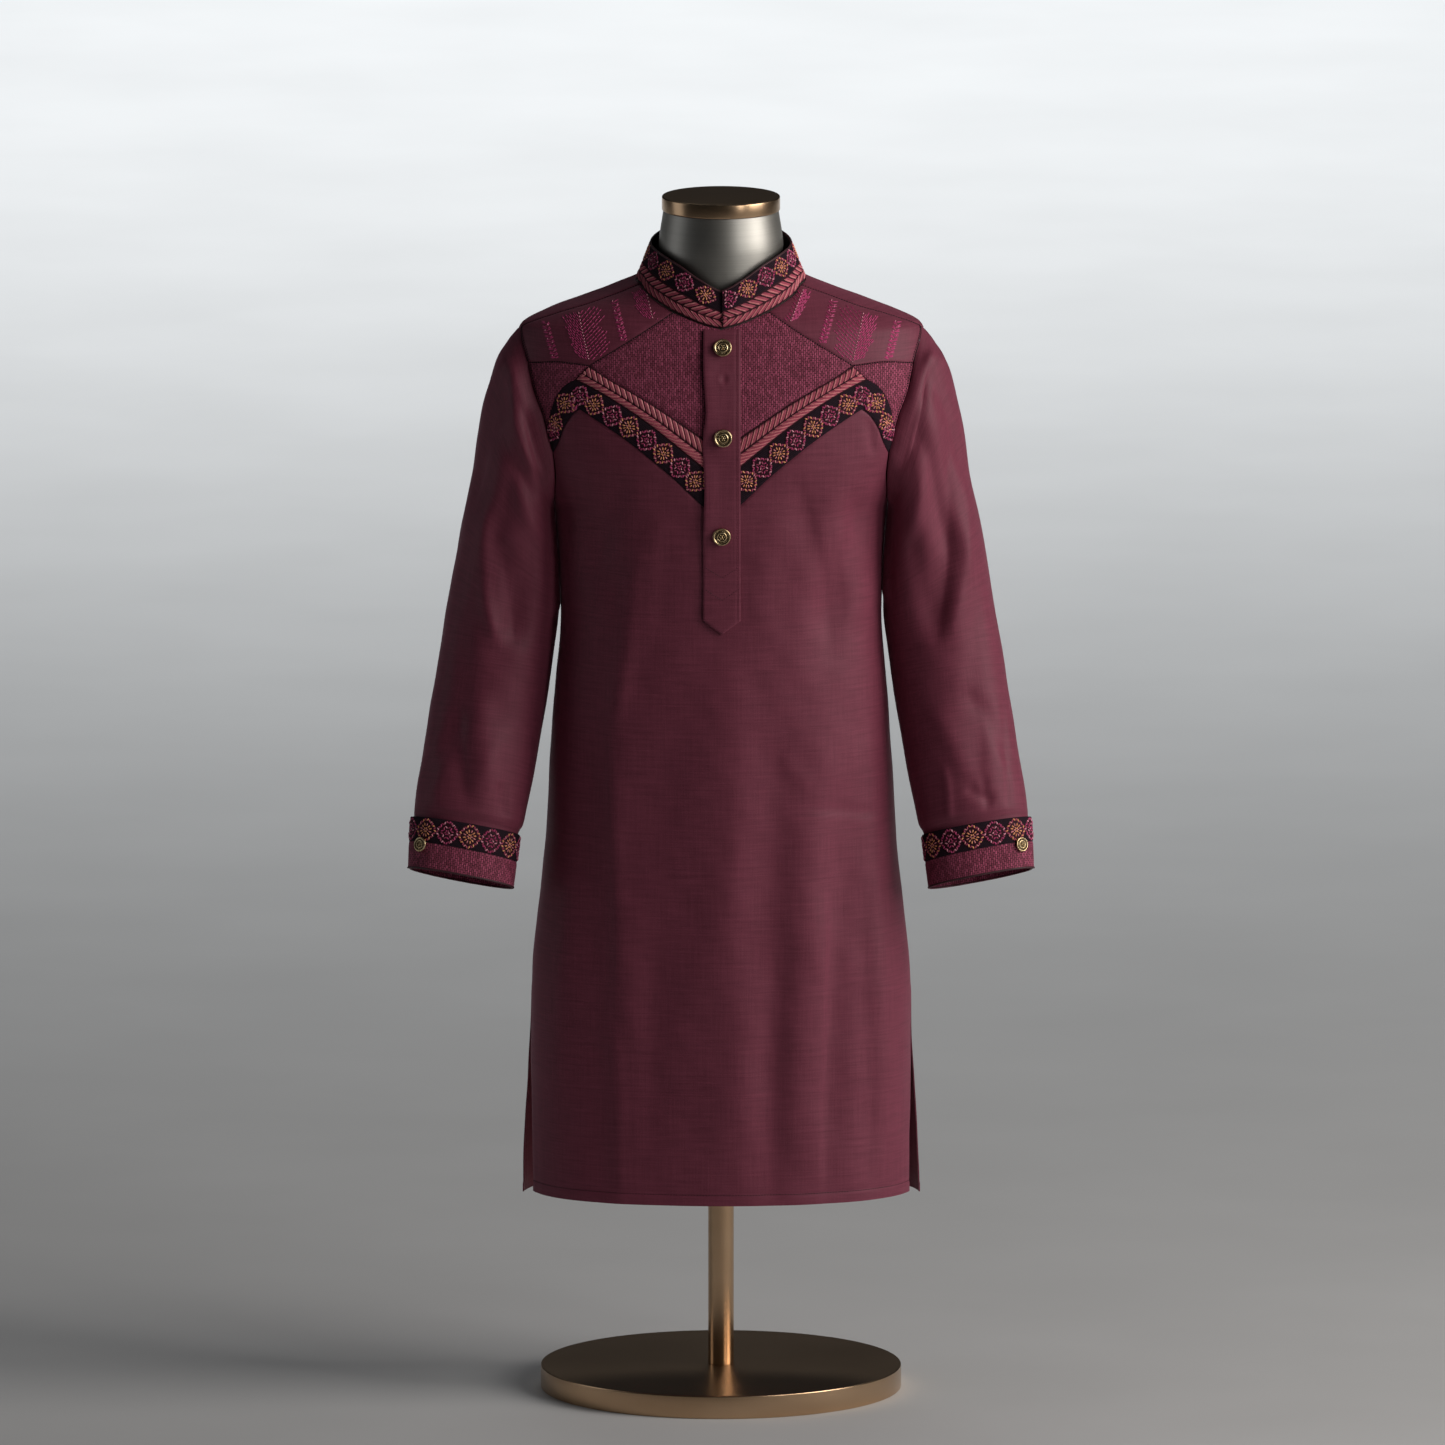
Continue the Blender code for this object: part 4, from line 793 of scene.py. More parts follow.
class Nodes:
    """A procedural material under construction."""

    def __init__(self, name, **values):
        self.material = bpy.data.materials.new(name)
        self.material.use_nodes = True
        self.tree = self.material.node_tree
        self.shader = self.tree.nodes["Principled BSDF"]
        for key, value in values.items():
            self.shader.inputs[key.replace("_", " ")].default_value = value
        MATERIALS[name] = self.material

    def node(self, kind, inputs=(), **settings):
        made = self.tree.nodes.new(kind)
        for key, value in settings.items():
            setattr(made, key, value)
        for key, value in inputs:
            if isinstance(value, bpy.types.NodeSocket):
                self.tree.links.new(value, made.inputs[key])
            else:
                made.inputs[key].default_value = value
        return made

    def weave(self):
        return self.node("ShaderNodeUVMap", uv_map="Weave").outputs[0]

    def place(self):
        return self.node("ShaderNodeTexCoord").outputs["Object"]

    def scaled(self, vector, scale, turn=0.0):
        inputs = (("Vector", vector), ("Scale", scale), ("Rotation", (0, 0, turn)))
        return self.node("ShaderNodeMapping", inputs).outputs[0]

    def noise(self, vector, scale, detail=2.0, rough=0.5, turn=0.0):
        placed = self.scaled(vector, scale, turn)
        inputs = (("Vector", placed), ("Scale", 1.0), ("Detail", detail), ("Roughness", rough))
        return self.node("ShaderNodeTexNoise", inputs).outputs[0]

    def cells(self, vector, scale, spread=1.0):
        placed = self.scaled(vector, scale)
        inputs = (("Vector", placed), ("Scale", 1.0), ("Randomness", spread))
        return self.node("ShaderNodeTexVoronoi", inputs).outputs[0]

    def wave(self, vector, scale, turn=0.0, distortion=0.0):
        placed = self.scaled(vector, (scale, scale, 1), turn)
        inputs = (("Vector", placed), ("Scale", 1.0), ("Distortion", distortion))
        return self.node("ShaderNodeTexWave", inputs).outputs[1]

    def sum(self, *parts):
        """The weighted sum of (socket, weight) pairs."""
        total = None
        for socket, weight in parts:
            part = self.node("ShaderNodeMath", ((0, socket), (1, weight)), operation="MULTIPLY").outputs[0]
            total = part if total is None else self.node(
                "ShaderNodeMath", ((0, total), (1, part)), operation="ADD"
            ).outputs[0]
        return total

    def ramp(self, value, stops, goal="Base Color"):
        made = self.node("ShaderNodeValToRGB", ((0, value),))
        ramp = made.color_ramp
        while len(ramp.elements) < len(stops):
            ramp.elements.new(0.5)
        for element, (at, colour) in zip(ramp.elements, stops):
            element.position = at
            element.color = (*colour, 1)
        if goal:
            self.tree.links.new(made.outputs[0], self.shader.inputs[goal])
        return made.outputs[0]

    def bump(self, height, distance, strength=1.0):
        inputs = (("Strength", strength), ("Distance", distance), ("Height", height))
        made = self.node("ShaderNodeBump", inputs)
        self.tree.links.new(made.outputs[0], self.shader.inputs["Normal"])


MATERIALS = {}


def mixed(a, b, t):
    return tuple(x + (y - x) * t for x, y in zip(a, b))


def grey(value):
    return (value, value, value)


def make_materials():
    n = Nodes("cloth", Roughness=0.56, Sheen_Weight=0.3, Sheen_Roughness=0.4)
    n.shader.inputs["Sheen Tint"].default_value = (0.8, 0.3, 0.42, 1)
    n.shader.inputs["Specular IOR Level"].default_value = 0.27
    uv = n.weave()
    weft = n.noise(uv, (16, 620, 1), 3.0, 0.6)
    slub = n.noise(uv, (34, 230, 1), 2.0, 0.6)
    warp = n.noise(uv, (640, 18, 1), 3.0, 0.6)
    grain = n.noise(uv, (1100, 1100, 1), 2.0)
    cloud = n.noise(uv, (11, 5, 1), 2.0)
    tone = n.sum((weft, 0.26), (slub, 0.16), (warp, 0.2), (grain, 0.3), (cloud, 0.08))
    n.ramp(tone, ((0.34, CLOTH_DARK), (0.5, mixed(CLOTH_DARK, CLOTH_LIGHT, 0.5)), (0.66, CLOTH_LIGHT)))
    n.bump(n.sum((weft, 0.4), (warp, 0.25), (grain, 0.35)), 0.5 * MM, 0.6)

    n = Nodes("jacquard", Roughness=0.7, Sheen_Weight=0.3, Sheen_Roughness=0.4)
    n.shader.inputs["Sheen Tint"].default_value = (0.8, 0.3, 0.42, 1)
    n.shader.inputs["Specular IOR Level"].default_value = 0.25
    uv = n.weave()
    jog = n.node("ShaderNodeTexNoise", (("Vector", uv), ("Scale", 260.0), ("Detail", 1.0)))
    jogged = n.node(
        "ShaderNodeVectorMath", ((0, jog.outputs["Color"]), (1, (1.6 * MM, 1.6 * MM, 0)), (2, uv)),
        operation="MULTIPLY_ADD",
    )
    brick = n.node("ShaderNodeTexBrick", (
        ("Vector", n.scaled(jogged.outputs[0], (1, 1, 1), 90 * DEGREE)), ("Scale", 1000.0),
        ("Brick Width", 4.3), ("Row Height", 2.3), ("Mortar Size", 0.42), ("Mortar Smooth", 0.5),
        ("Color1", (0.55, 0.105, 0.2, 1)), ("Color2", (0.27, 0.045, 0.088, 1)),
        ("Mortar", (0.07, 0.011, 0.022, 1)),
    ))
    fleck = n.noise(uv, (900, 420, 1), 2.0)
    shade = n.ramp(fleck, ((0.35, grey(0.62)), (0.65, grey(1.0))), None)
    tone = n.node(
        "ShaderNodeMix", ((0, 1.0), (6, brick.outputs["Color"]), (7, shade)),
        data_type="RGBA", blend_type="MULTIPLY",
    )
    n.tree.links.new(tone.outputs[2], n.shader.inputs["Base Color"])
    n.bump(n.sum((brick.outputs["Fac"], -0.8), (fleck, 0.3)), 0.6 * MM, 0.8)

    n = Nodes("padding", Roughness=0.75)
    n.shader.inputs["Specular IOR Level"].default_value = 0.2
    uv = n.weave()
    hatch = n.sum((n.noise(uv, (900, 900, 1), 2.0), 0.6), (n.cells(uv, (520, 520, 1)), 0.4))
    n.ramp(hatch, ((0.3, (0.07, 0.01, 0.022)), (0.6, (0.02, 0.004, 0.009))))
    n.bump(hatch, 0.4 * MM, 0.6)

    n = Nodes("braid", Roughness=0.8)
    n.shader.inputs["Specular IOR Level"].default_value = 0.15
    uv = n.weave()
    n.ramp(n.noise(uv, (900, 900, 1), 2.0), ((0.35, (0.02, 0.005, 0.009)), (0.65, (0.06, 0.014, 0.022))))

    n = Nodes("floral", Roughness=0.85)
    n.shader.inputs["Specular IOR Level"].default_value = 0.15
    uv = n.weave()
    hatch = n.sum((n.wave(uv, 250, 45 * DEGREE), 0.5), (n.wave(uv, 250, -45 * DEGREE), 0.5))
    tone = n.sum((hatch, 0.5), (n.noise(uv, (900, 900, 1), 2.0), 0.5))
    n.ramp(tone, ((0.35, (0.006, 0.003, 0.006)), (0.62, (0.026, 0.012, 0.02)), (0.8, (0.05, 0.022, 0.034))))
    n.bump(tone, 0.4 * MM, 0.6)

    # Dark cord colour: the real binding on the collar's upper edge, and painted shade on the cord along each
    # cuff's bottom edge.
    n = Nodes("binding_and_painted_shade", Roughness=0.6)
    uv = n.weave()
    n.ramp(n.noise(uv, (300, 900, 1), 2.0), ((0.3, (0.03, 0.006, 0.01)), (0.7, (0.075, 0.016, 0.026))))

    n = Nodes("lining", Roughness=0.85)
    uv = n.weave()
    n.ramp(n.noise(uv, (700, 700, 1), 2.0), ((0.3, (0.008, 0.003, 0.005)), (0.7, (0.022, 0.008, 0.012))))

    threads = (
        # Salmon: a real thread colour in the gold medallions, and a painted highlight on the braids' chevron
        # strokes.
        ("salmon", (0.86, 0.33, 0.34), (0.62, 0.19, 0.21)),
        ("rose", (0.48, 0.075, 0.16), (0.31, 0.045, 0.1)),
        ("coral", (0.52, 0.11, 0.16), (0.36, 0.065, 0.105)),
        ("maroon", (0.25, 0.04, 0.075), (0.14, 0.02, 0.042)),
        ("gold", (1.0, 0.46, 0.24), (0.78, 0.29, 0.13)),
        ("magenta", (0.64, 0.075, 0.23), (0.42, 0.045, 0.15)),
        ("pale", (0.92, 0.4, 0.5), (0.7, 0.26, 0.35)),
        ("dark", (0.022, 0.006, 0.011), (0.01, 0.003, 0.005)),
    )
    for name, light, deep in threads:
        n = Nodes(f"thread_{name}", Roughness=0.55)
        n.shader.inputs["Specular IOR Level"].default_value = 0.25
        uv = n.weave()
        fibre = n.noise(uv, (2600, 130, 1), 2.0)
        n.ramp(fibre, ((0.35, deep), (0.65, light)))
        n.bump(fibre, 0.2 * MM, 0.6)

    n = Nodes("brass", Metallic=1.0, Roughness=0.3)
    spot = n.noise(n.place(), (420, 420, 420), 3.0)
    n.ramp(spot, ((0.3, (0.36, 0.25, 0.12)), (0.5, (0.66, 0.5, 0.28)), (0.7, (0.82, 0.66, 0.42))))
    n.bump(spot, 0.2 * MM, 0.3)
    n = Nodes("brass_dark", Metallic=0.8, Roughness=0.55)
    n.ramp(n.noise(n.place(), (600, 600, 600), 3.0), ((0.35, (0.03, 0.02, 0.01)), (0.65, (0.13, 0.085, 0.04))))

    n = Nodes("steel", Metallic=1.0, Roughness=0.46)
    brushed = n.noise(n.place(), (6, 6, 1500), 2.0, 0.5)
    n.ramp(brushed, ((0.3, (0.37, 0.36, 0.33)), (0.7, (0.42, 0.405, 0.375))))
    n.bump(brushed, 0.05 * MM, 0.12)
    n = Nodes("bronze", Metallic=1.0, Roughness=0.26)
    mottle = n.noise(n.place(), (9, 9, 30), 3.0)
    n.ramp(mottle, ((0.3, (0.52, 0.345, 0.205)), (0.7, (0.62, 0.425, 0.265))))

    n = Nodes("floor", Roughness=0.9)
    n.ramp(n.noise(n.place(), (3, 3, 3), 3.0), ((0.3, grey(0.54)), (0.7, grey(0.57))))


SURFACES = {}
CLOTHS = {}


def finish_cloth(name, points, normals, kind, node, weave=None, ring=False, around=None):
    surface = Surface(points, normals)
    if weave is None:
        weave = surface.weave()
    made = cloth_shell(name, points, normals, kind, weave, ring, around)
    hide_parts(node)
    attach(made, "root")
    SURFACES[node] = surface
    CLOTHS[node] = made
    return made


def body_weave(angle, height, points):
    """Metres from the front centre round the body, and metres up."""
    turns = np.linspace(0, math.pi, 181)
    heights = np.linspace(200, 1200, 51) * MM
    grid = plain_body(turns[None], heights[:, None])
    steps = np.linalg.norm(np.diff(grid, axis=1), axis=2)
    runs = np.concatenate((np.zeros((len(heights), 1)), np.cumsum(steps, axis=1)), axis=1)
    over = np.abs(angle)
    over = np.where(over > math.pi, 2 * math.pi - over, over)
    sign = np.where((angle < 0) | (angle > math.pi), -1, 1)
    j = over / math.pi * 180
    i = np.clip((height - heights[0]) / (heights[1] - heights[0]), 0, len(heights) - 1.001)
    i0, j0 = i.astype(int), np.clip(j.astype(int), 0, 179)
    a, b = i - i0, j - j0
    low = runs[i0, j0] * (1 - b) + runs[i0, j0 + 1] * b
    high = runs[i0 + 1, j0] * (1 - b) + runs[i0 + 1, j0 + 1] * b
    return np.stack((sign * (low * (1 - a) + high * a), height), -1)


def body_piece(name, kind, grid, sign=1, proud=0.0, tucks=(0.8, 0.8, 0.8, 0.8), own_weave=False):
    """One piece of the body's cloth: its edges turn in at the seams."""
    angle, height = grid[..., 0] * sign, grid[..., 1]
    points, normals = body_surface(angle, height, proud)
    for gap, tuck in zip(edge_gaps(points), tucks):
        points = points - normals * (tuck * MM * np.exp(-(gap / (1.8 * MM)) ** 2))[..., None]
    weave = None if own_weave else body_weave(angle, height, points)
    return finish_cloth(f"{name}_cloth", points, normals, kind, name, weave)


def make_front():
    t = np.linspace(0, 1, 97)
    half = along(
        [np.concatenate([SEAMS["band_low"]]), SEAMS["leg_inner"], SEAMS["armhole_lower"]],
        t, FRONT_TOP_SHARES,
    )
    top = np.concatenate((half[:0:-1] * (-1, 1), half))
    hem = np.array((0, 0.25, 0.8, 2, 5, 9, 10.5, 11.2, 11.8, 12.6, 14, 17)) / 740
    v = np.concatenate((hem, np.linspace(0.028, 0.994, 184), [0.9975, 0.999, 0.9996, 1]))
    level = HEM + (ARMPIT - HEM) * v[:, None]
    bend = ease((v - FRONT_BEND_START) / (1 - FRONT_BEND_START))
    bend = (FRONT_BEND_LEAST + (1 - FRONT_BEND_LEAST) * bend)[:, None]
    even = 1 - ease((v - FRONT_CROWD_START) / FRONT_CROWD_RUN)[:, None]
    opened = ease((SLIT_TOP - level) / (SLIT_TOP - HEM)) * FRONT_SLIT_TURN / 90
    angle, high = top[None, :, 0], top[None, :, 1]
    height = level + (high - ARMPIT) * v[:, None] ** 2 * bend
    spread = np.sign(angle) * math.pi / 2 * (np.abs(angle) / (math.pi / 2)) ** FRONT_CROWD_POWER
    spread = angle + (spread - angle) * even
    grid = np.stack((spread * (1 - opened), height), -1)
    hemmed_piece("front", grid)


def hemmed_piece(name, grid):
    """The front or the back: tucked seams, turned hem and turned slit edges."""
    angle, height = grid[..., 0], grid[..., 1]
    points, normals = body_surface(angle, height)
    bottom, top, left, right = edge_gaps(points)
    flat = ease((985 * MM - height) / (20 * MM)) * ease((np.abs(np.sin(angle)) - 0.85) / 0.08)
    out = -0.7 * np.exp(-(top / (1.6 * MM)) ** 2) * (1 - flat)
    side = np.minimum(left, right)
    above = ease((height - SLIT_TOP) / (10 * MM))
    out -= 0.9 * np.exp(-(side / (1.8 * MM)) ** 2) * above
    for gap, share in ((bottom, 1.0), (side, 1 - above)):
        out += share * 0.45 * ease((13 * MM - gap) / (1.5 * MM))
        out -= share * 0.5 * np.exp(-((gap - 11.5 * MM) / (1.6 * MM)) ** 2)
    points = points + normals * (out * MM)[..., None]
    finish_cloth(f"{name}_cloth", points, normals, "cloth", name, body_weave(angle, height, points))


def make_back():
    steps = np.concatenate((
        (0, 0.012, 0.04, 0.1, 0.2, 0.26, 0.34), np.linspace(0.45, 17, 126), np.linspace(17, 29, 54)[1:],
        np.linspace(29, 36.8, 26)[1:], (36.88, 36.95, 37),
    ))
    t = steps / 37
    levels = np.linspace(0, 1, 60)
    skirt_height = BACK_HEM + (ARMPIT - BACK_HEM) * levels
    opened = ease((SLIT_TOP - skirt_height) / (SLIT_TOP - BACK_HEM)) * BACK_SLIT_TURN * DEGREE
    skirt = np.stack((math.pi / 2 + opened, skirt_height), -1)
    edge = along([skirt, SEAMS["armhole_back"], SEAMS["shoulder"][::-1]], t, BACK_EDGE_SHARES)
    middle = np.interp(steps, (0, 17, 29, 37), (BACK_HEM, ARMPIT, BACK_TIP_LEVEL, BACK_NECK))
    u = crowded(86, 330)
    u = u[u <= 1]
    u = np.concatenate((u[:4], np.linspace(u[4], 1, 90)))
    rise = np.sin(u * math.pi / 2)
    angle = edge[:, :1] + (math.pi - edge[:, :1]) * u[None]
    height = edge[:, 1:] + (middle[:, None] - edge[:, 1:]) * rise[None]
    angle = np.concatenate((angle, 2 * math.pi - angle[:, -2::-1]), axis=1)
    height = np.concatenate((height, height[:, -2::-1]), axis=1)
    hemmed_piece("back", np.stack((angle, height), -1))


def make_front_trims():
    s = SEAMS
    for side, sign in (("right", 1), ("left", -1)):
        u, v = crowded(44, 110), crowded(24, 70)
        bottom = along([s["yoke_side"][::-1], s["yoke_rise"]], u, (3, 5))
        top = along(s["shoulder"][::-1], u)
        grid = patch(bottom, top, along(s["armhole_yoke"], v), along(s["neck_side"], v), u, v)
        body_piece(f"yoke_{side}", "cloth", grid, sign)

        u, v = crowded(48, 150), crowded(40, 120)
        low, high = s["braid_top"][0], s["neck_front"][0]
        centre = low + (high - low) * v[:, None]
        grid = patch(
            along(s["braid_top"], u), along(s["neck_front"], u), centre,
            along(s["yoke_rise"], v), u, v,
        )
        body_piece(f"chest_{side}", "jacquard", grid, sign)

        u, v = crowded(60, 170), crowded(8, 30)
        low, high = along(s["braid_low"], u), along(s["braid_top"], u)
        first = low[0] + (high[0] - low[0]) * v[:, None]
        end = low[-1] + (high[-1] - low[-1]) * v[:, None]
        body_piece(
            f"braid_{side}", "braid", patch(low, high, first, end, u, v), sign, TRIM_PROUD,
            (0.6, 0.6, 0.2, 0.6), True,
        )

        u, v = crowded(20, 35), crowded(24, 60)
        grid = patch(
            along(s["leg_outer"], u), along(s["yoke_side"], u),
            along(s["braid_end"][::-1], v), along(s["armhole_side"], v), u, v,
        )
        body_piece(f"side_panel_{side}", "jacquard", grid, sign)

        u, v = crowded(90, 250), crowded(10, 30)
        low = along([s["band_low"], s["leg_inner"]], u, BAND_SHARES)
        high = along([s["braid_low"], s["leg_outer"]], u, BAND_SHARES)
        first = low[0] + (high[0] - low[0]) * v[:, None]
        grid = patch(low, high, first, along(s["armhole_band"], v), u, v)
        body_piece(f"band_{side}", "floral", grid, sign, TRIM_PROUD, (0.6, 0.4, 0.2, 0.6), True)


def make_placket():
    """The placket, on the front's own points moved out; its left edge stands free."""
    u, v = crowded(26, 39, (0.3, 0.9, 1.8)), crowded(170, 315, (0.3, 0.9, 1.8))
    x = PLACKET_LEFT + (PLACKET_RIGHT - PLACKET_LEFT) * u
    tip = PLACKET_SHOULDER - (PLACKET_SHOULDER - PLACKET_TIP) * (1 - np.abs(2 * u - 1))
    top = PLACKET_TOP + (x / PLACKET_RIGHT) ** 2 * PLACKET_CORNER_RISE
    z = (tip[None] + (top - tip)[None] * v[:, None]) * MM
    x = np.repeat(x[None], len(v), 0) * MM
    for level, reach, shift in PLACKET_WAVES:
        wave = shift * MM * np.exp(-((z / MM - level) / reach) ** 2)
        x = x + wave * (1 - u[None]) ** 3
    angle = angle_across(x, z)
    normals = body_normal(angle, z)
    out = np.full(x.shape, PLACKET_PROUD + PLACKET_WALL)
    bottom, top_gap, left, right = edge_gaps(plain_body(angle, z))
    free = ease((z - 900 * MM) / (40 * MM)) * ease((22 * MM - left) / (20 * MM))
    out += free * (0.7 + 0.8 * np.sin(z * 78 + 0.6) * np.sin(z * 31 + 1.4)) * MM
    out += 0.35 * MM * np.sin(z * 55 + x * 60) * ease((z - 880 * MM) / (60 * MM))
    dimple = np.hypot(x - DIMPLE[0] * MM, (z - DIMPLE[1] * MM) * 0.8) / (4 * MM)
    out += 0.7 * MM * (0.5 * np.exp(-((dimple - 1.3) * 1.6) ** 2) - np.exp(-dimple ** 2))
    for gap in (bottom, top_gap, left, right):
        out -= 0.55 * MM * np.exp(-(gap / (1.1 * MM)) ** 2)
    out -= 0.5 * MM * np.exp(-((right - 4.2 * MM) / (1.0 * MM)) ** 2)
    for level in (881, 857):
        out -= 0.45 * MM * np.exp(-((z - level * MM) / (1.2 * MM)) ** 2)
    points = plain_body(angle, z) + normals * out[..., None]
    finish_cloth("placket_cloth", points, normals, "cloth", "placket", np.stack((x, z), -1))


def neckline_turns():
    u = np.linspace(0, 1, 25)
    front = along([SEAMS["neck_front"], SEAMS["neck_side"]], np.linspace(0, 1, 23), (8, 3))
    angle, height = front[-1]
    back = np.stack((
        angle + (math.pi - angle) * u, height + (BACK_NECK - height) * np.sin(u * math.pi / 2)
    ), -1)
    line = np.concatenate((front, back[1:]))
    points = plain_body(line[:, 0], line[:, 1])
    turns = np.arctan2(points[:, 0], -points[:, 1])
    turns[-1] = math.pi
    return turns, points


NECK_TURNS, NECK_POINTS = neckline_turns()


def collar_point(turn, share):
    """Points of the collar: share 0 is the neckline and 1 the upper edge."""
    turn, share = np.broadcast_arrays(turn, share)
    at = np.abs(turn)
    low = np.stack([np.interp(at, NECK_TURNS, NECK_POINTS[:, k]) for k in range(3)], -1)
    low[..., 0] *= np.where(turn < 0, -1, 1)
    table = np.array(COLLAR_SECTIONS, float)
    degrees = np.clip(at / DEGREE, 0, 180)
    k = np.clip(np.searchsorted(table[:, 0], degrees, side="right") - 1, 0, len(table) - 2)
    a, b = table[np.maximum(k - 1, 0)], table[k]
    d, e = table[k + 1], table[np.minimum(k + 2, len(table) - 1)]
    t = ((degrees - b[..., 0]) / (d[..., 0] - b[..., 0]))[..., None]
    both = 0.5 * (2 * b + (d - a) * t + (2 * a - 5 * b + 4 * d - e) * t * t
                  + (3 * b - 3 * d + e - a) * t ** 3) * MM
    radius, height = both[..., 1], both[..., 2]
    high = np.stack((radius * np.sin(turn), -radius * np.cos(turn), height), -1)
    low = low + unit(high - low) * COLLAR_GAP
    return low + (high - low) * share[..., None]


def collar_normal(turn, step=0.03):
    around = collar_point(turn + step, 0.5) - collar_point(turn - step, 0.5)
    return unit(np.cross(around, collar_point(turn, 1.0) - collar_point(turn, 0.0)))


def collar_turns(count):
    """Turns round the lapped collar from its outer end to its inner one."""
    start, end = COLLAR_END * DEGREE, (360 + COLLAR_OVERLAP) * DEGREE
    return start + (end - start) * crowded(count, 480)


def collar_place(turn, share, out=0.0):
    held, blend = (COLLAR_OVERLAP + 1) * DEGREE, COLLAR_BLEND * DEGREE
    lift = COLLAR_LIFT * ease((held + blend - turn) / blend) + out
    wrapped = np.where(turn <= math.pi, turn, turn - 2 * math.pi)
    normal = collar_normal(wrapped)
    return collar_point(wrapped, share) + normal * lift[..., None], normal


def make_collar():
    turn = collar_turns(220)[None]
    for name, low, high, kind, rows in (
        ("collar_braid", 0.0, COLLAR_SPLIT, "braid", 8),
        ("collar_band", COLLAR_SPLIT, 1.0, "floral", 10),
    ):
        share = low + (high - low) * crowded(rows, 22, (0.4, 1.2))[:, None]
        points, normals = collar_place(np.repeat(turn, len(share), 0), share + 0 * turn)
        bottom, top, left, right = edge_gaps(points)
        for gap, tuck in ((bottom, 0.5), (top, 0.5), (left, 0.4), (right, 0.4)):
            points = points - normals * (tuck * MM * np.exp(-(gap / (1.3 * MM)) ** 2))[..., None]
        made = finish_cloth(f"{name}_cloth", points, normals, kind, name)
        made.data.materials.append(MATERIALS["lining"])
        inside = np.zeros(len(made.data.polygons), np.int32)
        quads = (points.shape[0] - 1) * (points.shape[1] - 1)
        inside[quads:quads * 2] = 1
        made.data.polygons.foreach_set("material_index", inside)
    # piping over the upper edge
    line, normals = collar_place(turn[0], np.ones(turn.shape[1]), -0.5 * MM)
    tube("collar_piping", line - np.array((0, 0, 0.3 * MM)), 1.2 * MM, "binding_and_painted_shade")


def tube(name, line, radius, kind, sides=10):
    """A round cord along a line of points."""
    run = unit(np.gradient(line, axis=0))
    side = unit(np.cross(run, np.broadcast_to((0, 0, 1.0), run.shape)))
    up = np.cross(side, run)
    turn = np.linspace(0, 2 * math.pi, sides, endpoint=False)
    offset = side[:, None] * np.cos(turn)[None, :, None] + up[:, None] * np.sin(turn)[None, :, None]
    points = line[:, None] + offset * radius
    length = np.concatenate(([0], np.cumsum(np.linalg.norm(np.diff(line, axis=0), axis=1))))
    uv = np.stack(np.broadcast_arrays(turn[None] * radius, length[:, None]), -1)
    faces = list(grid_faces(len(line), sides, True))
    ends = [list(range(sides)), [len(line) * sides - 1 - k for k in range(sides)]]
    made = mesh_object(name, points.reshape(-1, 3), faces + ends, kind, uv.reshape(-1, 2))
    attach(made, "root")
    return made


def ring_point(ring, turn, sign):
    """Points of a sleeve ring: 0 is its outer edge, 90 the front, 180 the inner edge."""
    outer_x, outer_z, inner_x, inner_z, axis_y, depth = (v * MM for v in ring)
    inner_x = max(inner_x, float(half_width(inner_z)) + BODY_CLEAR)
    centre = np.array(((outer_x + inner_x) / 2, axis_y, (outer_z + inner_z) / 2))
    across = np.array(((outer_x - inner_x) / 2, 0, (outer_z - inner_z) / 2))
    tilt = ARM_TILT * ease((ARM_TILT_TOP - inner_z) / ARM_TILT_RUN)
    forward = np.array((0, -math.cos(tilt), math.sin(tilt))) * depth
    power = 2 / SLEEVE_SQUARENESS
    c, s = bent(np.cos(turn), power), bent(np.sin(turn), power)
    points = centre + across * c[..., None] + forward * s[..., None]
    return points * np.array((sign, 1, 1))


def cuff_point(level, turn, sign, out):
    """Points of the cuff: level 0 is its top edge, 1 the seam, 2 the bottom edge."""
    low = min(max(int(level), 0), 1)
    t = level - low
    ring = [a + (b - a) * t for a, b in zip(CUFF_RINGS[low], CUFF_RINGS[low + 1])]
    step = 1e-3
    around = ring_point(ring, turn + step, sign) - ring_point(ring, turn - step, sign)
    down = ring_point(CUFF_RINGS[2], turn, sign) - ring_point(CUFF_RINGS[0], turn, sign)
    normal = unit(np.cross(around, down)) * sign
    return ring_point(ring, turn, sign) + normal * np.asarray(out)[..., None], normal


def underarm(height):
    return ease((UNDERARM_TOP - height) / UNDERARM_RUN)


def armhole_loop(steps):
    """The armhole's (angle, height) pairs: tip, down the front, up the back."""
    t = np.linspace(0, 1, steps, endpoint=False)
    lines = [
        SEAMS["armhole_yoke"][::-1], SEAMS["armhole_side"][::-1], SEAMS["armhole_band"][::-1],
        SEAMS["armhole_lower"], SEAMS["armhole_back"],
    ]
    return along(lines, t, (3, 4, 1, 5, 12))


def sleeve_fold(turn, row, fold):
    turn0, row0, turn1, row1, depth, width = fold
    t = (row - row0) / (row1 - row0)
    inside = np.where((t > -0.1) & (t < 1.1), ease(np.minimum(t, 1 - t) * 3 + 0.25), 0)
    centre = turn0 + (turn1 - turn0) * np.clip(t, 0, 1)
    away = ((turn - centre + 180) % 360 - 180) / width
    return depth * MM * inside * np.exp(-away * away * SLEEVE_FOLD_FALL)


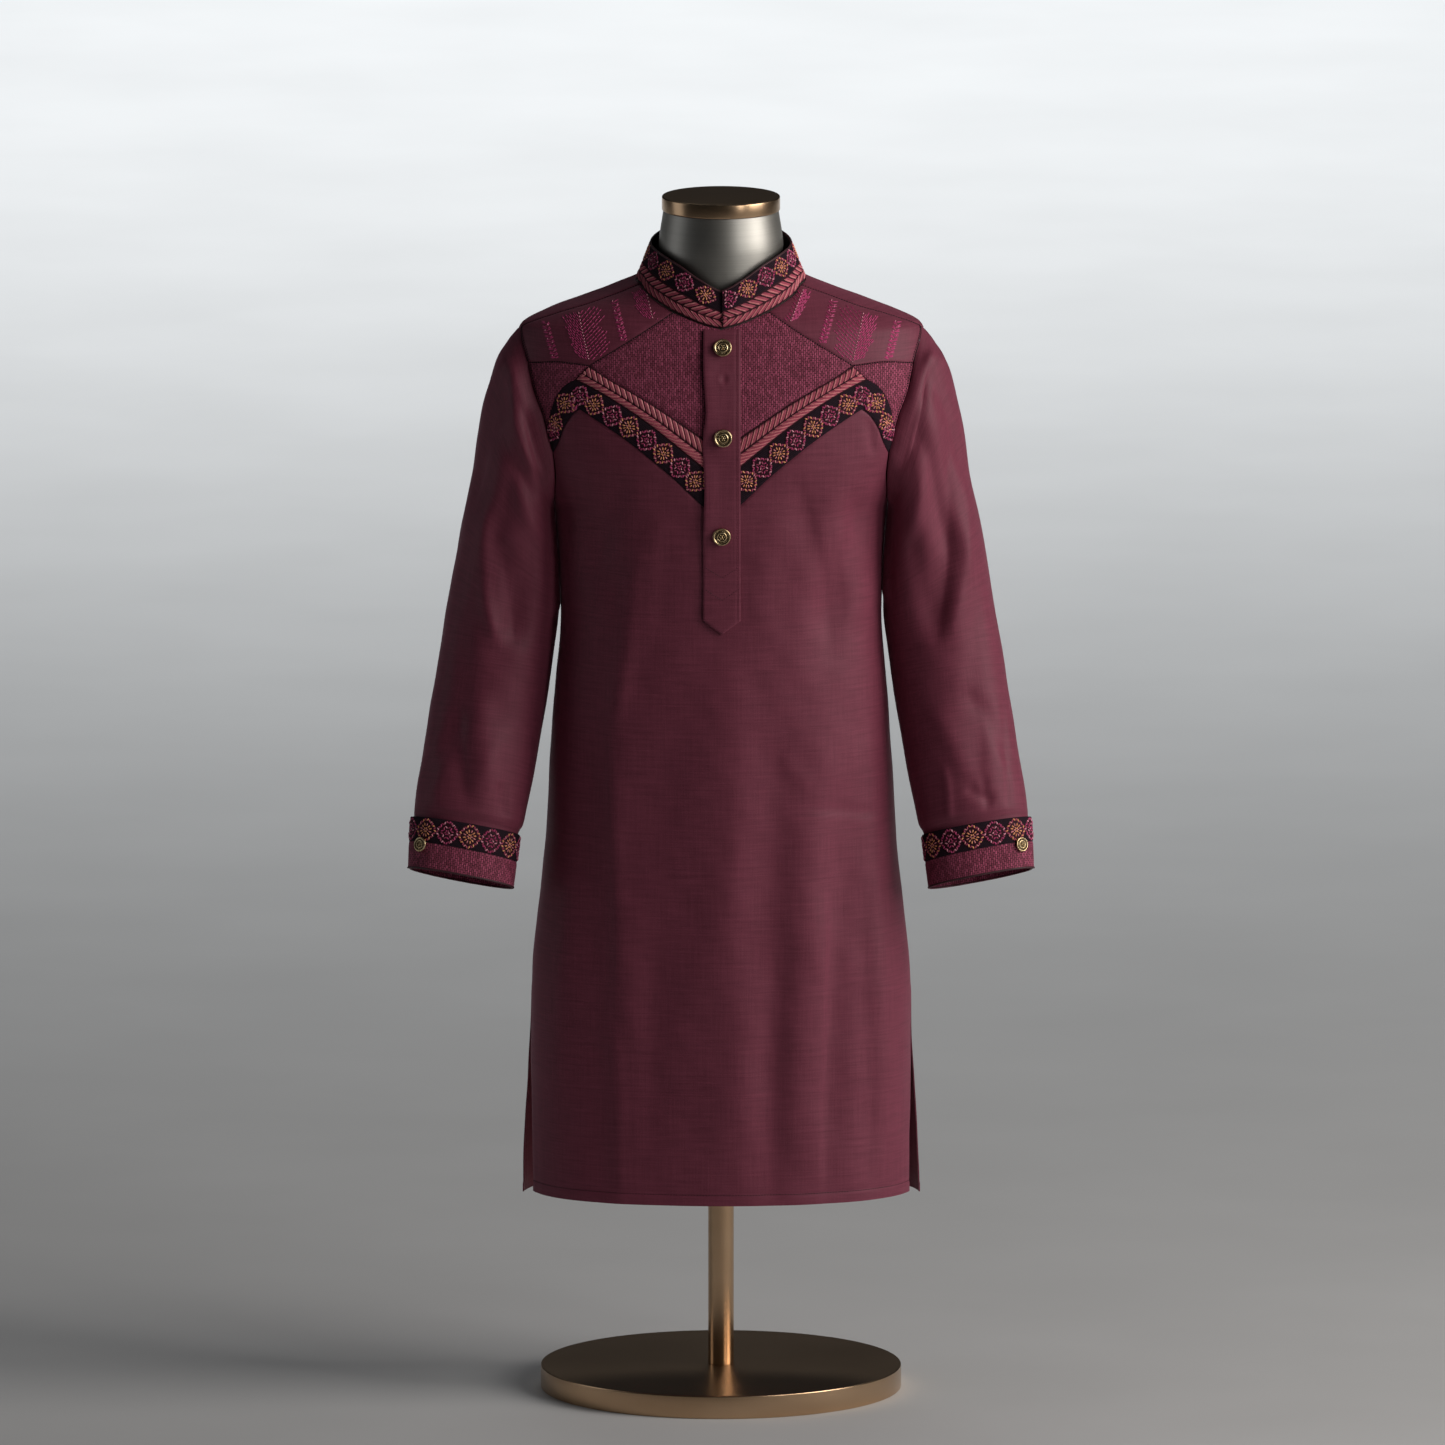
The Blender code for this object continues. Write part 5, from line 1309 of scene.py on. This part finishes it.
def make_sleeve(side, sign, creases):
    count = 150
    loop = armhole_loop(count)
    points = plain_body(sign * loop[:, 0], loop[:, 1])
    body_normals = body_normal(sign * loop[:, 0], loop[:, 1])
    armpit = int(round(count * 13 / 25))
    middle = (points[0] + points[armpit]) / 2
    spoke = points[0] - middle
    share = (points - middle) @ spoke / float(spoke @ spoke)
    turns = np.unwrap(np.arctan2(-(points[:, 1] - middle[1]) / SLEEVE_HEAD_DEPTH, share))
    run = np.roll(points, -1, 0) - np.roll(points, 1, 0)
    away = unit(np.cross(body_normals, run))
    away *= np.sign(((middle - points) * away).sum(-1))[:, None]
    low = underarm(points[:, 2])[:, None]
    rings = [points + away * 0.3 * MM * (1 - low) + body_normals * UNDERARM_CLEAR * low]
    even = 2 * math.pi * np.arange(count) / count
    for k, ring in enumerate(SLEEVE_RINGS):
        blend = min((k + 1) / SLEEVE_EVEN_RING, 1.0)
        rings.append(ring_point(ring, turns * (1 - blend) + even * blend, sign))
    for level in (-0.1, CUFF_TUCK):
        rings.append(cuff_point(level, even, sign, np.full(count, -WALL - CUFF_CLEAR))[0])
    rings = np.array(rings)
    row = np.concatenate(([0, 0.008, 0.02, 0.045, 0.08], np.linspace(0.12, 12, 150), [12.3, 12.7, 13, 13.5, 14]))
    grid = through_rings(rings, row)
    normals = grid_normals(grid, sign)
    turn = 360 * np.arange(count)[None] / count
    share, later = (1.0, 0.0) if sign > 0 else LEFT_SLEEVE_FOLDS
    free = ease((np.abs(turn - 180) - SLEEVE_PLAIN) / SLEEVE_PLAIN_BLEND)
    held = ease((12.6 - row) / 1.0)[:, None] * ease((row - 0.05) / 0.8)[:, None]
    out = np.zeros(grid.shape[:2])
    for fold in SLEEVE_FOLDS:
        out += share * sleeve_fold(turn, row[:, None] - later, fold)
    x, z = grid[..., 0], grid[..., 2]
    for crease in creases:
        facing = ease(normals[..., 1] * -crease[0] * 1.6 + 0.1)
        out += crease_height(x, z, crease) * facing
    out += ripple(x, z, grid[..., 1]) * 1.2
    top = np.linalg.norm(grid - grid[:1], axis=2)
    out = out * free * held - 0.6 * MM * np.exp(-(top / (1.7 * MM)) ** 2) * (1 - low[:, 0])
    grid = grid + normals * out[..., None]
    # the underarm lies against the body's side down to where the arm leaves it
    x, y, z = (grid[..., k] for k in range(3))
    depth = np.where(y < 0, front_depth(z), back_depth(z))
    power = squareness(z)
    body = half_width(z) * np.maximum(1 - (np.abs(y) / depth) ** power, 0) ** (1 / power)
    leaves = RESTS_TO[sign]
    close = ease((z - leaves) / (16 * MM)) * ease((978 * MM - z) / (14 * MM))
    close = close * ease((-normals[..., 0] * sign - 0.3) / 0.35) * ease((36 * MM - np.abs(y - 3 * MM)) / (20 * MM))
    grid[..., 0] = x + sign * np.minimum(body + 1.0 * MM - np.abs(x), 0) * close
    length = np.concatenate(([0], np.cumsum(np.linalg.norm(np.diff(grid[:, 38], axis=0), axis=1))))
    radius = 0.085 - 0.00225 * row
    weave = np.stack(np.broadcast_arrays(
        (turn * DEGREE)[0][None] * radius[:, None], -length[:, None]), -1)
    finish_cloth(
        f"sleeve_{side}_cloth", grid, normals, "cloth", f"sleeve_{side}", weave, True,
        2 * math.pi * radius,
    )


def through_rings(rings, row):
    """Rows of points on smooth curves through the rings."""
    k = np.clip(row.astype(int), 0, len(rings) - 2)
    t = (row - k)[:, None, None]
    ghost = np.concatenate(([2 * rings[0] - rings[1]], rings, [2 * rings[-1] - rings[-2]]))
    a, b, c, d = ghost[k], ghost[k + 1], ghost[k + 2], ghost[k + 3]
    return 0.5 * (2 * b + (c - a) * t + (2 * a - 5 * b + 4 * c - d) * t * t
                  + (3 * b - 3 * c + d - a) * t ** 3)


def grid_normals(grid, sign):
    around = np.roll(grid, -1, axis=1) - np.roll(grid, 1, axis=1)
    return unit(np.cross(around, np.gradient(grid, axis=0)) * sign)


def make_cuff(side, sign):
    start, end = CUFF_LAP_START * DEGREE, (CUFF_LAP_END - 360) * DEGREE
    turn = start + (end - start) * crowded(150, 330)
    lap, blend = start - 360 * DEGREE, CUFF_LAP_BLEND * DEGREE
    lift = WALL + 0.6 * MM
    raised = lift * ease((lap + blend - turn) / blend)
    for name, levels, kind in (
        (f"cuff_band_{side}", 1.0 - crowded(9, 26, (0.3, 0.9, 1.8)), "floral"),
        (f"cuff_{side}", 2.0 - crowded(9, 26, (0.3, 0.9, 1.8)), "jacquard"),
    ):
        rows = [cuff_point(float(level), turn, sign, raised) for level in levels]
        points, normals = (np.array([r[k] for r in rows]) for k in (0, 1))
        for gap in edge_gaps(points):
            points = points - normals * (0.5 * MM * np.exp(-(gap / (1.4 * MM)) ** 2))[..., None]
        finish_cloth(f"{name}_cloth", points, normals, kind, name)
    # A dark cord along the cuff's bottom edge: painted shade, standing in for the shadow under the rounded lower
    # edge.
    line, _ = cuff_point(2.0, turn, sign, raised - 0.6 * MM)
    up = ring_point(CUFF_RINGS[0], turn, sign) - ring_point(CUFF_RINGS[2], turn, sign)
    tube(f"cuff_painted_shade_cord_{side}", line + unit(up) * 0.9 * MM, 1.15 * MM, "binding_and_painted_shade")
    away = np.array(lift + BUTTON_SEAT)
    centre, normal = cuff_point(CUFF_BUTTON_LEVEL, np.array(CUFF_BUTTON_ANGLE * DEGREE), sign, away)
    make_button(f"cuff_button_{side}", CUFF_BUTTON_DIAMETER, centre, normal)


def lathe(profile, sides, centre=(0, 0, 0), axis=(0, 0, 1)):
    """Points and faces turned from (radius, height) pairs, closed at both ends."""
    axis = unit(np.array(axis, float))
    helper = np.array((0, 0, 1.0)) if abs(axis[2]) < 0.9 else np.array((1.0, 0, 0))
    right = unit(np.cross(helper, axis))
    up = np.cross(axis, right)
    turn = np.linspace(0, 2 * math.pi, sides, endpoint=False)
    spokes = right * np.cos(turn)[:, None] + up * np.sin(turn)[:, None]
    profile = np.array(profile, float)
    points = np.asarray(centre) + spokes[None] * profile[:, :1, None] + axis * profile[:, 1:, None]
    faces = list(grid_faces(len(profile), sides, True))
    last = (len(profile) - 1) * sides
    faces.append(list(range(sides))[::-1])
    faces.append([last + k for k in range(sides)])
    return points.reshape(-1, 3), faces, (right, up, axis)


def make_button(name, diameter, centre, normal):
    """A brass button: rolled rim, dotted ring and a small rosette."""
    r = diameter / 2
    profile = (
        (0.3, 0), (0.3, 0.1), (0.82, 0.13), (0.95, 0.17), (1.0, 0.25), (0.985, 0.33), (0.94, 0.385),
        (0.88, 0.405), (0.82, 0.385), (0.78, 0.33), (0.74, 0.31), (0.62, 0.31), (0.56, 0.33),
        (0.53, 0.37), (0.48, 0.385), (0.43, 0.37), (0.4, 0.33), (0.2, 0.33),
    )
    points, faces, (right, up, axis) = lathe([(a * r, b * r) for a, b in profile], 48, centre, normal)
    all_points, all_faces = [points], list(faces)
    count = len(points)
    spots = [(0.0, 0.0, 0.13)] + [(0.24, k * 60, 0.085) for k in range(6)] + \
        [(0.68, k * 15, 0.042) for k in range(24)]
    for away, turn, size in spots:
        base = 0.33 if away < 0.5 else 0.31
        offset = right * math.cos(turn * DEGREE) + up * math.sin(turn * DEGREE)
        middle = np.asarray(centre) + offset * away * r + axis * base * r
        dome = [(size * r * math.cos(a * DEGREE), size * r * math.sin(a * DEGREE)) for a in (0, 30, 60, 82)]
        p, f, _ = lathe(dome, 10, middle, normal)
        all_points.append(p)
        all_faces += [[i + count for i in face] for face in f]
        count += len(p)
    made = mesh_object(f"{name}_brass", np.concatenate(all_points), all_faces, "brass")
    made.data.materials.append(MATERIALS["brass_dark"])
    dark = [0] * len(made.data.polygons)
    for k, polygon in enumerate(made.data.polygons):
        ring = k // 48
        if k < 17 * 48 and ring in (9, 10, 11, 15, 16):
            dark[k] = 1
    dark[17 * 48 + 1] = 1
    made.data.polygons.foreach_set("material_index", dark)
    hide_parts(name)
    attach(made, "root")


def make_placket_buttons():
    for name, height, across in PLACKET_BUTTONS:
        z = np.array(height * MM)
        angle = angle_across(across * MM, z)
        normal = body_normal(angle, z)
        centre = plain_body(angle, z) + normal * (PLACKET_PROUD + PLACKET_WALL + BUTTON_SEAT)
        make_button(name, BUTTON_DIAMETER, centre, normal)


def table_value(table, height):
    return np.interp(height / MM, [row[0] for row in table], [row[1] for row in table]) * MM


form_neck = smooth_curve(FORM_NECK, 1)


def form_radius(turn, height):
    level = height + FORM_DROP
    inset = table_value(FORM_INSETS, height)
    arm = table_value(FORM_ARM_ENDS, height)
    side = half_width(level) - inset
    half = (side ** -FORM_ARM_BLEND + arm ** -FORM_ARM_BLEND) ** (-1 / FORM_ARM_BLEND)
    deep = np.where(np.cos(turn) > 0, front_depth(level), back_depth(level)) - inset
    power = squareness(level)
    body = (np.abs(np.sin(turn) / half) ** power + np.abs(np.cos(turn) / deep) ** power) ** (-1 / power)
    body = body * (1 - ease((height - FORM_SHOULDER_TOP) / FORM_SHOULDER_FADE))
    neck = form_neck(height)
    return (body ** FORM_BLEND + neck ** FORM_BLEND) ** (1 / FORM_BLEND)


def make_form():
    heights = np.concatenate((np.linspace(520, 1060, 60), np.linspace(1064, 1254, 96))) * MM
    turn = np.linspace(0, 2 * math.pi, 128, endpoint=False)
    turn = np.arctan2(1.3 * np.sin(turn), np.cos(turn))
    radius = form_radius(turn[None], heights[:, None])
    z = np.repeat(heights[:, None], len(turn), 1)
    points = np.stack((radius * np.sin(turn), -radius * np.cos(turn), z), -1)
    rings = [np.stack((r * np.sin(turn), -r * np.cos(turn), np.full(len(turn), h)), -1) for r, h in (
        ((POLE_RADIUS + SEAT_GAP), POLE_TOP + SEAT_GAP), ((POLE_RADIUS + SEAT_GAP), FORM_BOTTOM),
    )]
    grid = np.concatenate((np.array(rings), points))
    faces = list(grid_faces(len(grid), len(turn), True))
    last = (len(grid) - 1) * len(turn)
    faces.append(list(range(len(turn)))[::-1])
    faces.append([last + k for k in range(len(turn))])
    stand_object("form_body", grid.reshape(-1, 3), faces, "steel", "form_torso")


def stand_object(name, points, faces, kind, node):
    made = mesh_object(name, points, faces, kind)
    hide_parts(node)
    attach(made, "root")


def rounded(radius, low, high, bevel, steps=5):
    """The profile of a disc with rounded edges."""
    arc = [k / steps * 90 * DEGREE for k in range(steps + 1)]
    lower = [(radius - bevel + bevel * math.sin(a), low + bevel - bevel * math.cos(a)) for a in arc]
    upper = [(radius - bevel + bevel * math.cos(a), high - bevel + bevel * math.sin(a)) for a in arc]
    return lower + upper


def make_stand():
    for name, node, radius, low, high, bevel, sides in (
        ("base_disc", "form_base", BASE_RADIUS, 0, BASE_HEIGHT, 1.4 * MM, 160),
        ("pole", "form_pole", POLE_RADIUS, BASE_HEIGHT + SEAT_GAP, POLE_TOP, 0.3 * MM, 64),
        ("neck_cap", "form_cap", CAP_RADIUS, NECK_TOP + SEAT_GAP, CAP_TOP, 1.6 * MM, 96),
    ):
        points, faces, _ = lathe(rounded(radius, low, high, bevel), sides)
        stand_object(name, points, faces, "bronze", node)


def chevrons(surface, flip=1, start=0.0, end=None, pitch=CHEVRON_PITCH):
    """The braid's slanted satin strokes on both sides of its centre line."""
    end = surface.length if end is None else end
    s = np.arange(start - 16 * MM, end + 16 * MM, pitch)
    for low, high, lean in (
        (BRAID_CENTRE + 0.025, 1 - BRAID_EDGE, CHEVRON_UPPER),
        (BRAID_CENTRE - 0.025, BRAID_EDGE, CHEVRON_LOWER),
    ):
        # Each stroke's salmon thread is a painted highlight along the bar's ridge.
        for thread, shift, width in STROKE_THREADS:
            at = s + shift
            rise = surface.frame(at, 0.5)[2]
            across = (high - low) * rise
            a = np.stack((at, np.full(len(at), low)), -1)
            b = surface.moved(at, low, flip * np.abs(across) / math.tan(lean), across)
            b[:, 1] = high
            run = b[:, 0] - a[:, 0]
            t = np.sort(np.stack(((start - a[:, 0]) / run, (end - a[:, 0]) / run)), axis=0)
            t = np.clip(t, 0, 1)
            keep = t[1] - t[0] > 0.2
            first, last = a + (b - a) * t[0][:, None], a + (b - a) * t[1][:, None]
            stroke(thread, surface, first[keep], last[keep], width, 0.7 * MM)


# Stitched pads under the medallions, gathered and made into one mesh
PADS = []
PAD_RINGS = ((0.0, 0.5), (0.4, 0.48), (0.75, 0.4), (0.94, 0.28), (1.0, 0.0))
PAD_SIDES = 28
# A medallion's rows of stitches: how far out as a share, spacing, half length
MEDALLION_ROWS = (
    (0.16, 2.7 * MM, 1.3 * MM), (0.46, 2.8 * MM, 1.75 * MM), (0.86, 2.5 * MM, 1.6 * MM),
)


def medallion(surface, s, colour, half_long, half_wide, power=1.2):
    """A rounded diamond of rings of short stitches, gold within or rose all over."""
    def placed(points):
        points = np.asarray(points, float).reshape(-1, 2)
        centre = np.full(len(points), 1.0)
        return surface.moved(centre * s, centre * 0.5, points[:, 0] * half_long, points[:, 1] * half_wide)

    def inside(place):
        return (place[:, 0] > 0.3 * MM) & (place[:, 0] < surface.length - 0.3 * MM)

    def stitches(thread, pairs, width, height, lift):
        if not pairs:
            return
        pairs = np.array(pairs)
        a, b = placed(pairs[:, 0]), placed(pairs[:, 1])
        keep = inside(a) & inside(b)
        if keep.any():
            stroke(thread, surface, a[keep], b[keep], width, height, lift)

    turn = np.linspace(0, 2 * math.pi, PAD_SIDES, endpoint=False)
    edge = (np.abs(np.cos(turn)) ** power + np.abs(np.sin(turn)) ** power) ** (-1 / power)
    outline = np.stack((edge * np.cos(turn), edge * np.sin(turn)), -1)
    rings = [placed(outline * share) for share, _ in PAD_RINGS]
    pad = []
    for ring, (_, lift) in zip(rings, PAD_RINGS):
        points, normals = surface.at(ring[:, 0], ring[:, 1])
        pad.append(points + normals * (lift + 0.06) * MM)
    PADS.append(np.array(pad))

    threads = {"rose": [], "magenta": [], "pale": [], "gold": [], "salmon": []}
    mean = (half_long + half_wide) / 2
    for row, (share, spacing, size) in enumerate(MEDALLION_ROWS):
        count = 2 * max(3, round(math.pi * share * mean * 0.92 / spacing))
        for k in range(count):
            turn = (k + 0.5 * (row % 2)) / count * 2 * math.pi
            c, d = math.cos(turn), math.sin(turn)
            reach = share * (abs(c) ** power + abs(d) ** power) ** (-1 / power)
            lean = turn + (0.6 if k % 2 else -0.6) * (colour != "gold" or row == 2)
            i, j = reach * c, reach * d
            di, dj = math.cos(lean) * size / half_long, math.sin(lean) * size / half_wide
            if colour == "gold" and (row < 2 or k % 2):
                thread = "gold" if k % 3 else "salmon"
            else:
                thread = ("rose", "magenta", "rose", "pale")[(k + row) % 4]
            threads[thread].append(((i - di, j - dj), (i + di, j + dj)))
    for thread, pairs in threads.items():
        stitches(thread, pairs, 1.7 * MM, 0.65 * MM, 0.4 * MM)


def make_pads():
    points = np.concatenate([pad.reshape(-1, 3) for pad in PADS])
    faces = []
    size = len(PAD_RINGS) * PAD_SIDES
    for k in range(len(PADS)):
        faces += list(grid_faces(len(PAD_RINGS), PAD_SIDES, True, k * size))
    made = mesh_object("medallion_pads", points, faces, "padding", points[:, (0, 2)])
    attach(made, "root")


def seam_height(names, x):
    """The height in mm of a run of seams at some mm across."""
    line = np.concatenate([SEAMS[name] for name in names])
    points = plain_body(line[:, 0], line[:, 1]) / MM
    order = np.argsort(points[:, 0])
    return np.interp(np.abs(x), points[order, 0], points[order, 2])


def body_stitches(thread, a, b, width, height, sign=1, proud=0.0):
    """Stitches on a yoke between points across and up, in mm, inside its seams."""
    a, b = np.atleast_2d(a), np.atleast_2d(b)
    inside = np.ones(len(a), bool)
    for end in (a, b):
        inside &= end[:, 1] < seam_height(("shoulder",), end[:, 0]) - YOKE_MARGIN
        inside &= end[:, 1] > seam_height(("yoke_rise", "yoke_side"), end[:, 0]) + YOKE_MARGIN
        inside &= np.hypot(end[:, 0], (end[:, 1] - 1192) * 1.1) > YOKE_NECK_CLEAR
    a, b = a[inside] * MM, b[inside] * MM
    t = STROKE_AT[None, :, None]
    path = a[:, None] * (1 - t) + b[:, None] * t
    x, z = path[..., 0], path[..., 1]
    points, normals = body_surface(angle_across(x, z), z, proud)
    add_strokes(thread, points, normals, width, height)


def ladder(top, bottom, wide, rng):
    """A narrow band of crossed stitches with light knots along both sides."""
    top, bottom = np.array(top, float), np.array(bottom, float)
    run = bottom - top
    length = float(np.linalg.norm(run))
    run /= length
    side = np.array((-run[1], run[0]))
    a, b, knots = [], [], []
    for k, s in enumerate(np.arange(0.5, length - 0.5, 2.1)):
        flip = 1 if k % 2 else -1
        jog = rng.uniform(-0.3, 0.3, 3)
        a.append(top + run * (s + jog[0]) - side * wide * flip)
        b.append(top + run * (s + 1.6 + jog[1]) + side * wide * 0.2 * flip)
        a.append(top + run * (s + 0.6) + side * wide * 0.85 * flip)
        b.append(top + run * (s + 2.2 + jog[2]) + side * wide * 0.15 * flip)
        if k % 2 == 0:
            knots.append(top + run * (s + 0.6) + side * wide * 0.45 * (1 if k % 4 else -1))
    body_stitches("magenta", a, b, 1.5 * MM, 0.45 * MM, proud=0.1 * MM)
    knots = np.array(knots)
    body_stitches("pale", knots - run * 0.7, knots + run * 0.7, 1.2 * MM, 0.7 * MM, proud=0.1 * MM)


def feather(top, bottom, left, right, rng):
    """A dotted stem with slanted barbs on one side or on both."""
    top, bottom = np.array(top, float), np.array(bottom, float)
    run = bottom - top
    length = float(np.linalg.norm(run))
    run /= length
    a, b, c, d = [], [], [], []
    for s in np.arange(0.5, length, 2.9):
        c.append(top + run * s)
        d.append(top + run * (s + 1.3))
    for flip, wide in ((-1, left), (1, right)):
        if not wide:
            continue
        barb = np.array((0.7 * flip, 0.71))
        for s in np.arange(2.0, length + 12, 3.5):
            reach = wide / 0.7 * rng.uniform(0.72, 1.08)
            at = 1.3 if s < length else (s - length) * 1.6
            while at < reach - 1:
                step = rng.uniform(3.6, 6.0)
                start = top + run * (s + rng.uniform(-0.3, 0.3)) + barb * at
                a.append(start)
                b.append(start + barb * min(step, reach - at))
                at += step + 0.35
    body_stitches("magenta", a, b, 1.3 * MM, 0.5 * MM, proud=0.1 * MM)
    body_stitches("pale", c, d, 1.5 * MM, 0.8 * MM, proud=0.2 * MM)


def run_stitches(thread, line, normals, pitch, length, width, height, lift=0.0):
    """A run of stitches along a line of points."""
    steps = np.linalg.norm(np.diff(line, axis=0), axis=1)
    run = np.concatenate(([0], np.cumsum(steps)))
    start = np.arange(pitch * 0.5, run[-1] - length, pitch)
    at = start[:, None] + length * STROKE_AT[None]
    points = np.stack([np.interp(at, run, line[:, k]) for k in range(3)], -1)
    facing = unit(np.stack([np.interp(at, run, normals[:, k]) for k in range(3)], -1))
    add_strokes(thread, points + facing * lift, facing, width, height)


def seam_stitches(seam_line, sign, aside, proud=0.0):
    """Topstitching some metres to one side of a seam of the front."""
    points, normals = body_surface(seam_line[:, 0] * sign, seam_line[:, 1], proud)
    run = unit(np.gradient(points, axis=0))
    line = points + np.cross(normals, run) * aside * sign
    run_stitches("dark", line, normals, 2.9 * MM, 2.2 * MM, 1.5 * MM, 0.55 * MM, 0.05 * MM)


def make_topstitching():
    for sign in (1, -1):
        seam_stitches(SEAMS["armhole_yoke"], sign, 2.6 * MM)
        seam_stitches(SEAMS["armhole_side"], sign, 2.6 * MM)
        for name in ("yoke_rise", "yoke_side", "shoulder", "armhole_yoke"):
            seam_stitches(SEAMS[name], sign, 0.0, -0.45 * MM)
    for node in ("front", "back"):
        surface = SURFACES[node]
        s = np.linspace(0, surface.length, 300)
        line, normals = surface.at(s, 11.5 * MM / surface.height)
        run_stitches("dark", line, normals, 3.1 * MM, 2.3 * MM, 0.9 * MM, 0.35 * MM)
    placket = SURFACES["placket"]
    v = np.linspace(0.12, 0.985, 240)
    line, normals = placket.at(placket.length - 4.2 * MM, v)
    run_stitches("maroon", line, normals, 2.9 * MM, 1.9 * MM, 0.6 * MM, 0.3 * MM)
    for level in BOX_STITCHES:
        share = (level - PLACKET_TIP) / (PLACKET_TOP - PLACKET_TIP)
        line, normals = placket.at(np.linspace(1.5 * MM, placket.length - 1.5 * MM, 40), share)
        run_stitches("dark", line, normals, 2.9 * MM, 1.9 * MM, 0.6 * MM, 0.3 * MM)


def make_embroidery():
    for side, sign in (("right", 1), ("left", -1)):
        braid, band = SURFACES[f"braid_{side}"], SURFACES[f"band_{side}"]
        chevrons(braid, start=10 * MM, end=braid.length - 0.8 * MM)
        middle = np.maximum.accumulate(np.abs(band.points[len(band.points) // 2][:, 0]))
        for x, colour in BAND_MEDALLIONS:
            s = float(np.interp(x * MM, middle + np.arange(len(middle)) * 1e-9, band.run))
            wide = float(band.frame(s, 0.5)[2])
            medallion(band, s, colour, 13.2 * MM, wide * 0.49)
        cuff = SURFACES[f"cuff_band_{side}"]
        turn = CUFF_LAP_START + 360 - CUFF_MEDALLION_FRONT
        first = turn / (360 + CUFF_LAP_START - CUFF_LAP_END) * cuff.length
        count = int(cuff.length / CUFF_MEDALLION_STEP) + 1
        for k in range(-count, count):
            s = first + k * CUFF_MEDALLION_STEP
            if 6 * MM < s < cuff.length - 6 * MM:
                wide = float(cuff.frame(s, 0.5)[2])
                medallion(cuff, s, "gold" if k % 2 == 0 else "rose", 12.6 * MM, wide * 0.49, 1.5)
    collar, band = SURFACES["collar_braid"], SURFACES["collar_band"]
    turns = collar_turns(220)
    half = float(np.interp(math.pi, turns, collar.run))
    chevrons(collar, -1, 0.6 * MM, half, COLLAR_PITCH)
    chevrons(collar, 1, half, collar.length - 0.6 * MM, COLLAR_PITCH)
    for first, step in zip(COLLAR_MEDALLION_FIRST, COLLAR_MEDALLION_STEP):
        for k in range(11 if step > 0 else 10):
            turn = (first + step * k) % 360
            s = float(np.interp(turn * DEGREE, turns, band.run))
            even = k % 2 == (0 if step > 0 else 1)
            wide = float(band.frame(s, 0.5)[2])
            medallion(band, s, "rose" if even else "gold", 12.8 * MM, wide * 0.5, 1.3)
    rng = np.random.default_rng(11)
    for kind, *values in YOKE_MOTIFS:
        (ladder if kind == "ladder" else feather)(*values, rng)


def declare_sheets():
    for node, made in CLOTHS.items():
        kind, _, side = node.rpartition("_")
        if side not in ("left", "right"):
            kind = node


def make_scenery():
    scene = bpy.context.scene
    mesh = bpy.data.meshes.new("floor")
    size = 30.0
    mesh.from_pydata([(-size, -size, 0), (size, -size, 0), (size, size, 0), (-size, size, 0)], [], [(0, 1, 2, 3)])
    mesh.materials.append(MATERIALS["floor"])
    floor = bpy.data.objects.new("floor", mesh)
    scene.collection.objects.link(floor)

    world = bpy.data.worlds.new("studio")
    world.use_nodes = True
    world.node_tree.nodes["Background"].inputs["Color"].default_value = (0.62, 0.65, 0.7, 1)
    world.node_tree.nodes["Background"].inputs["Strength"].default_value = 0.025
    scene.world = world
    scene.view_settings.view_transform = "Standard"

    for name, place, size, power, colour in (
        ("key", (3.36, -1.05, 2.35), (2.2, 2.8), 118, (1.0, 0.96, 0.92)),
        ("side", (2.35, -2.9, 1.9), (0.6, 1.9), 19, (1.0, 0.98, 0.96)),
        ("rim", (-2.4, 0.1, 1.3), (1.1, 2.4), 5, (0.95, 0.97, 1.0)),
        ("backdrop", (0.0, 9.0, 8.0), (6.0, 5.0), 420, (0.95, 0.98, 1.0)),
    ):
        data = bpy.data.lights.new(name, "AREA")
        data.shape = "RECTANGLE"
        data.size, data.size_y = size
        data.energy = power
        if name == "backdrop":
            data.spread = 100 * DEGREE
        data.color = colour
        light = bpy.data.objects.new(name, data)
        light.location = place
        aim = np.array((0, 0, 0.75) if name != "backdrop" else (0, 9.0, 0)) - np.array(place)
        light.rotation_euler = (
            math.atan2(math.hypot(aim[0], aim[1]), -aim[2]), 0, math.atan2(-aim[0], aim[1])
        )
        scene.collection.objects.link(light)

    data = bpy.data.cameras.new("camera")
    data.sensor_width = 36
    data.lens = 1423.9
    data.clip_end = 200
    camera = bpy.data.objects.new("camera", data)
    tilt = 10 * DEGREE
    camera.location = (0.0016, -60 * math.cos(tilt), 0.7086 + 60 * math.sin(tilt))
    camera.rotation_euler = (80 * DEGREE, 0, 0)
    scene.collection.objects.link(camera)
    scene.camera = camera


make_materials()
make_front()
make_back()
make_front_trims()
make_placket()
make_placket_buttons()
make_collar()
for cuff_side, cuff_sign, sleeve_creases in (
    ("right", 1, RIGHT_SLEEVE_CREASES), ("left", -1, LEFT_SLEEVE_CREASES),
):
    make_sleeve(cuff_side, cuff_sign, sleeve_creases)
    make_cuff(cuff_side, cuff_sign)
make_form()
make_stand()
make_embroidery()
make_topstitching()
make_pads()
make_strokes()
declare_sheets()
make_scenery()
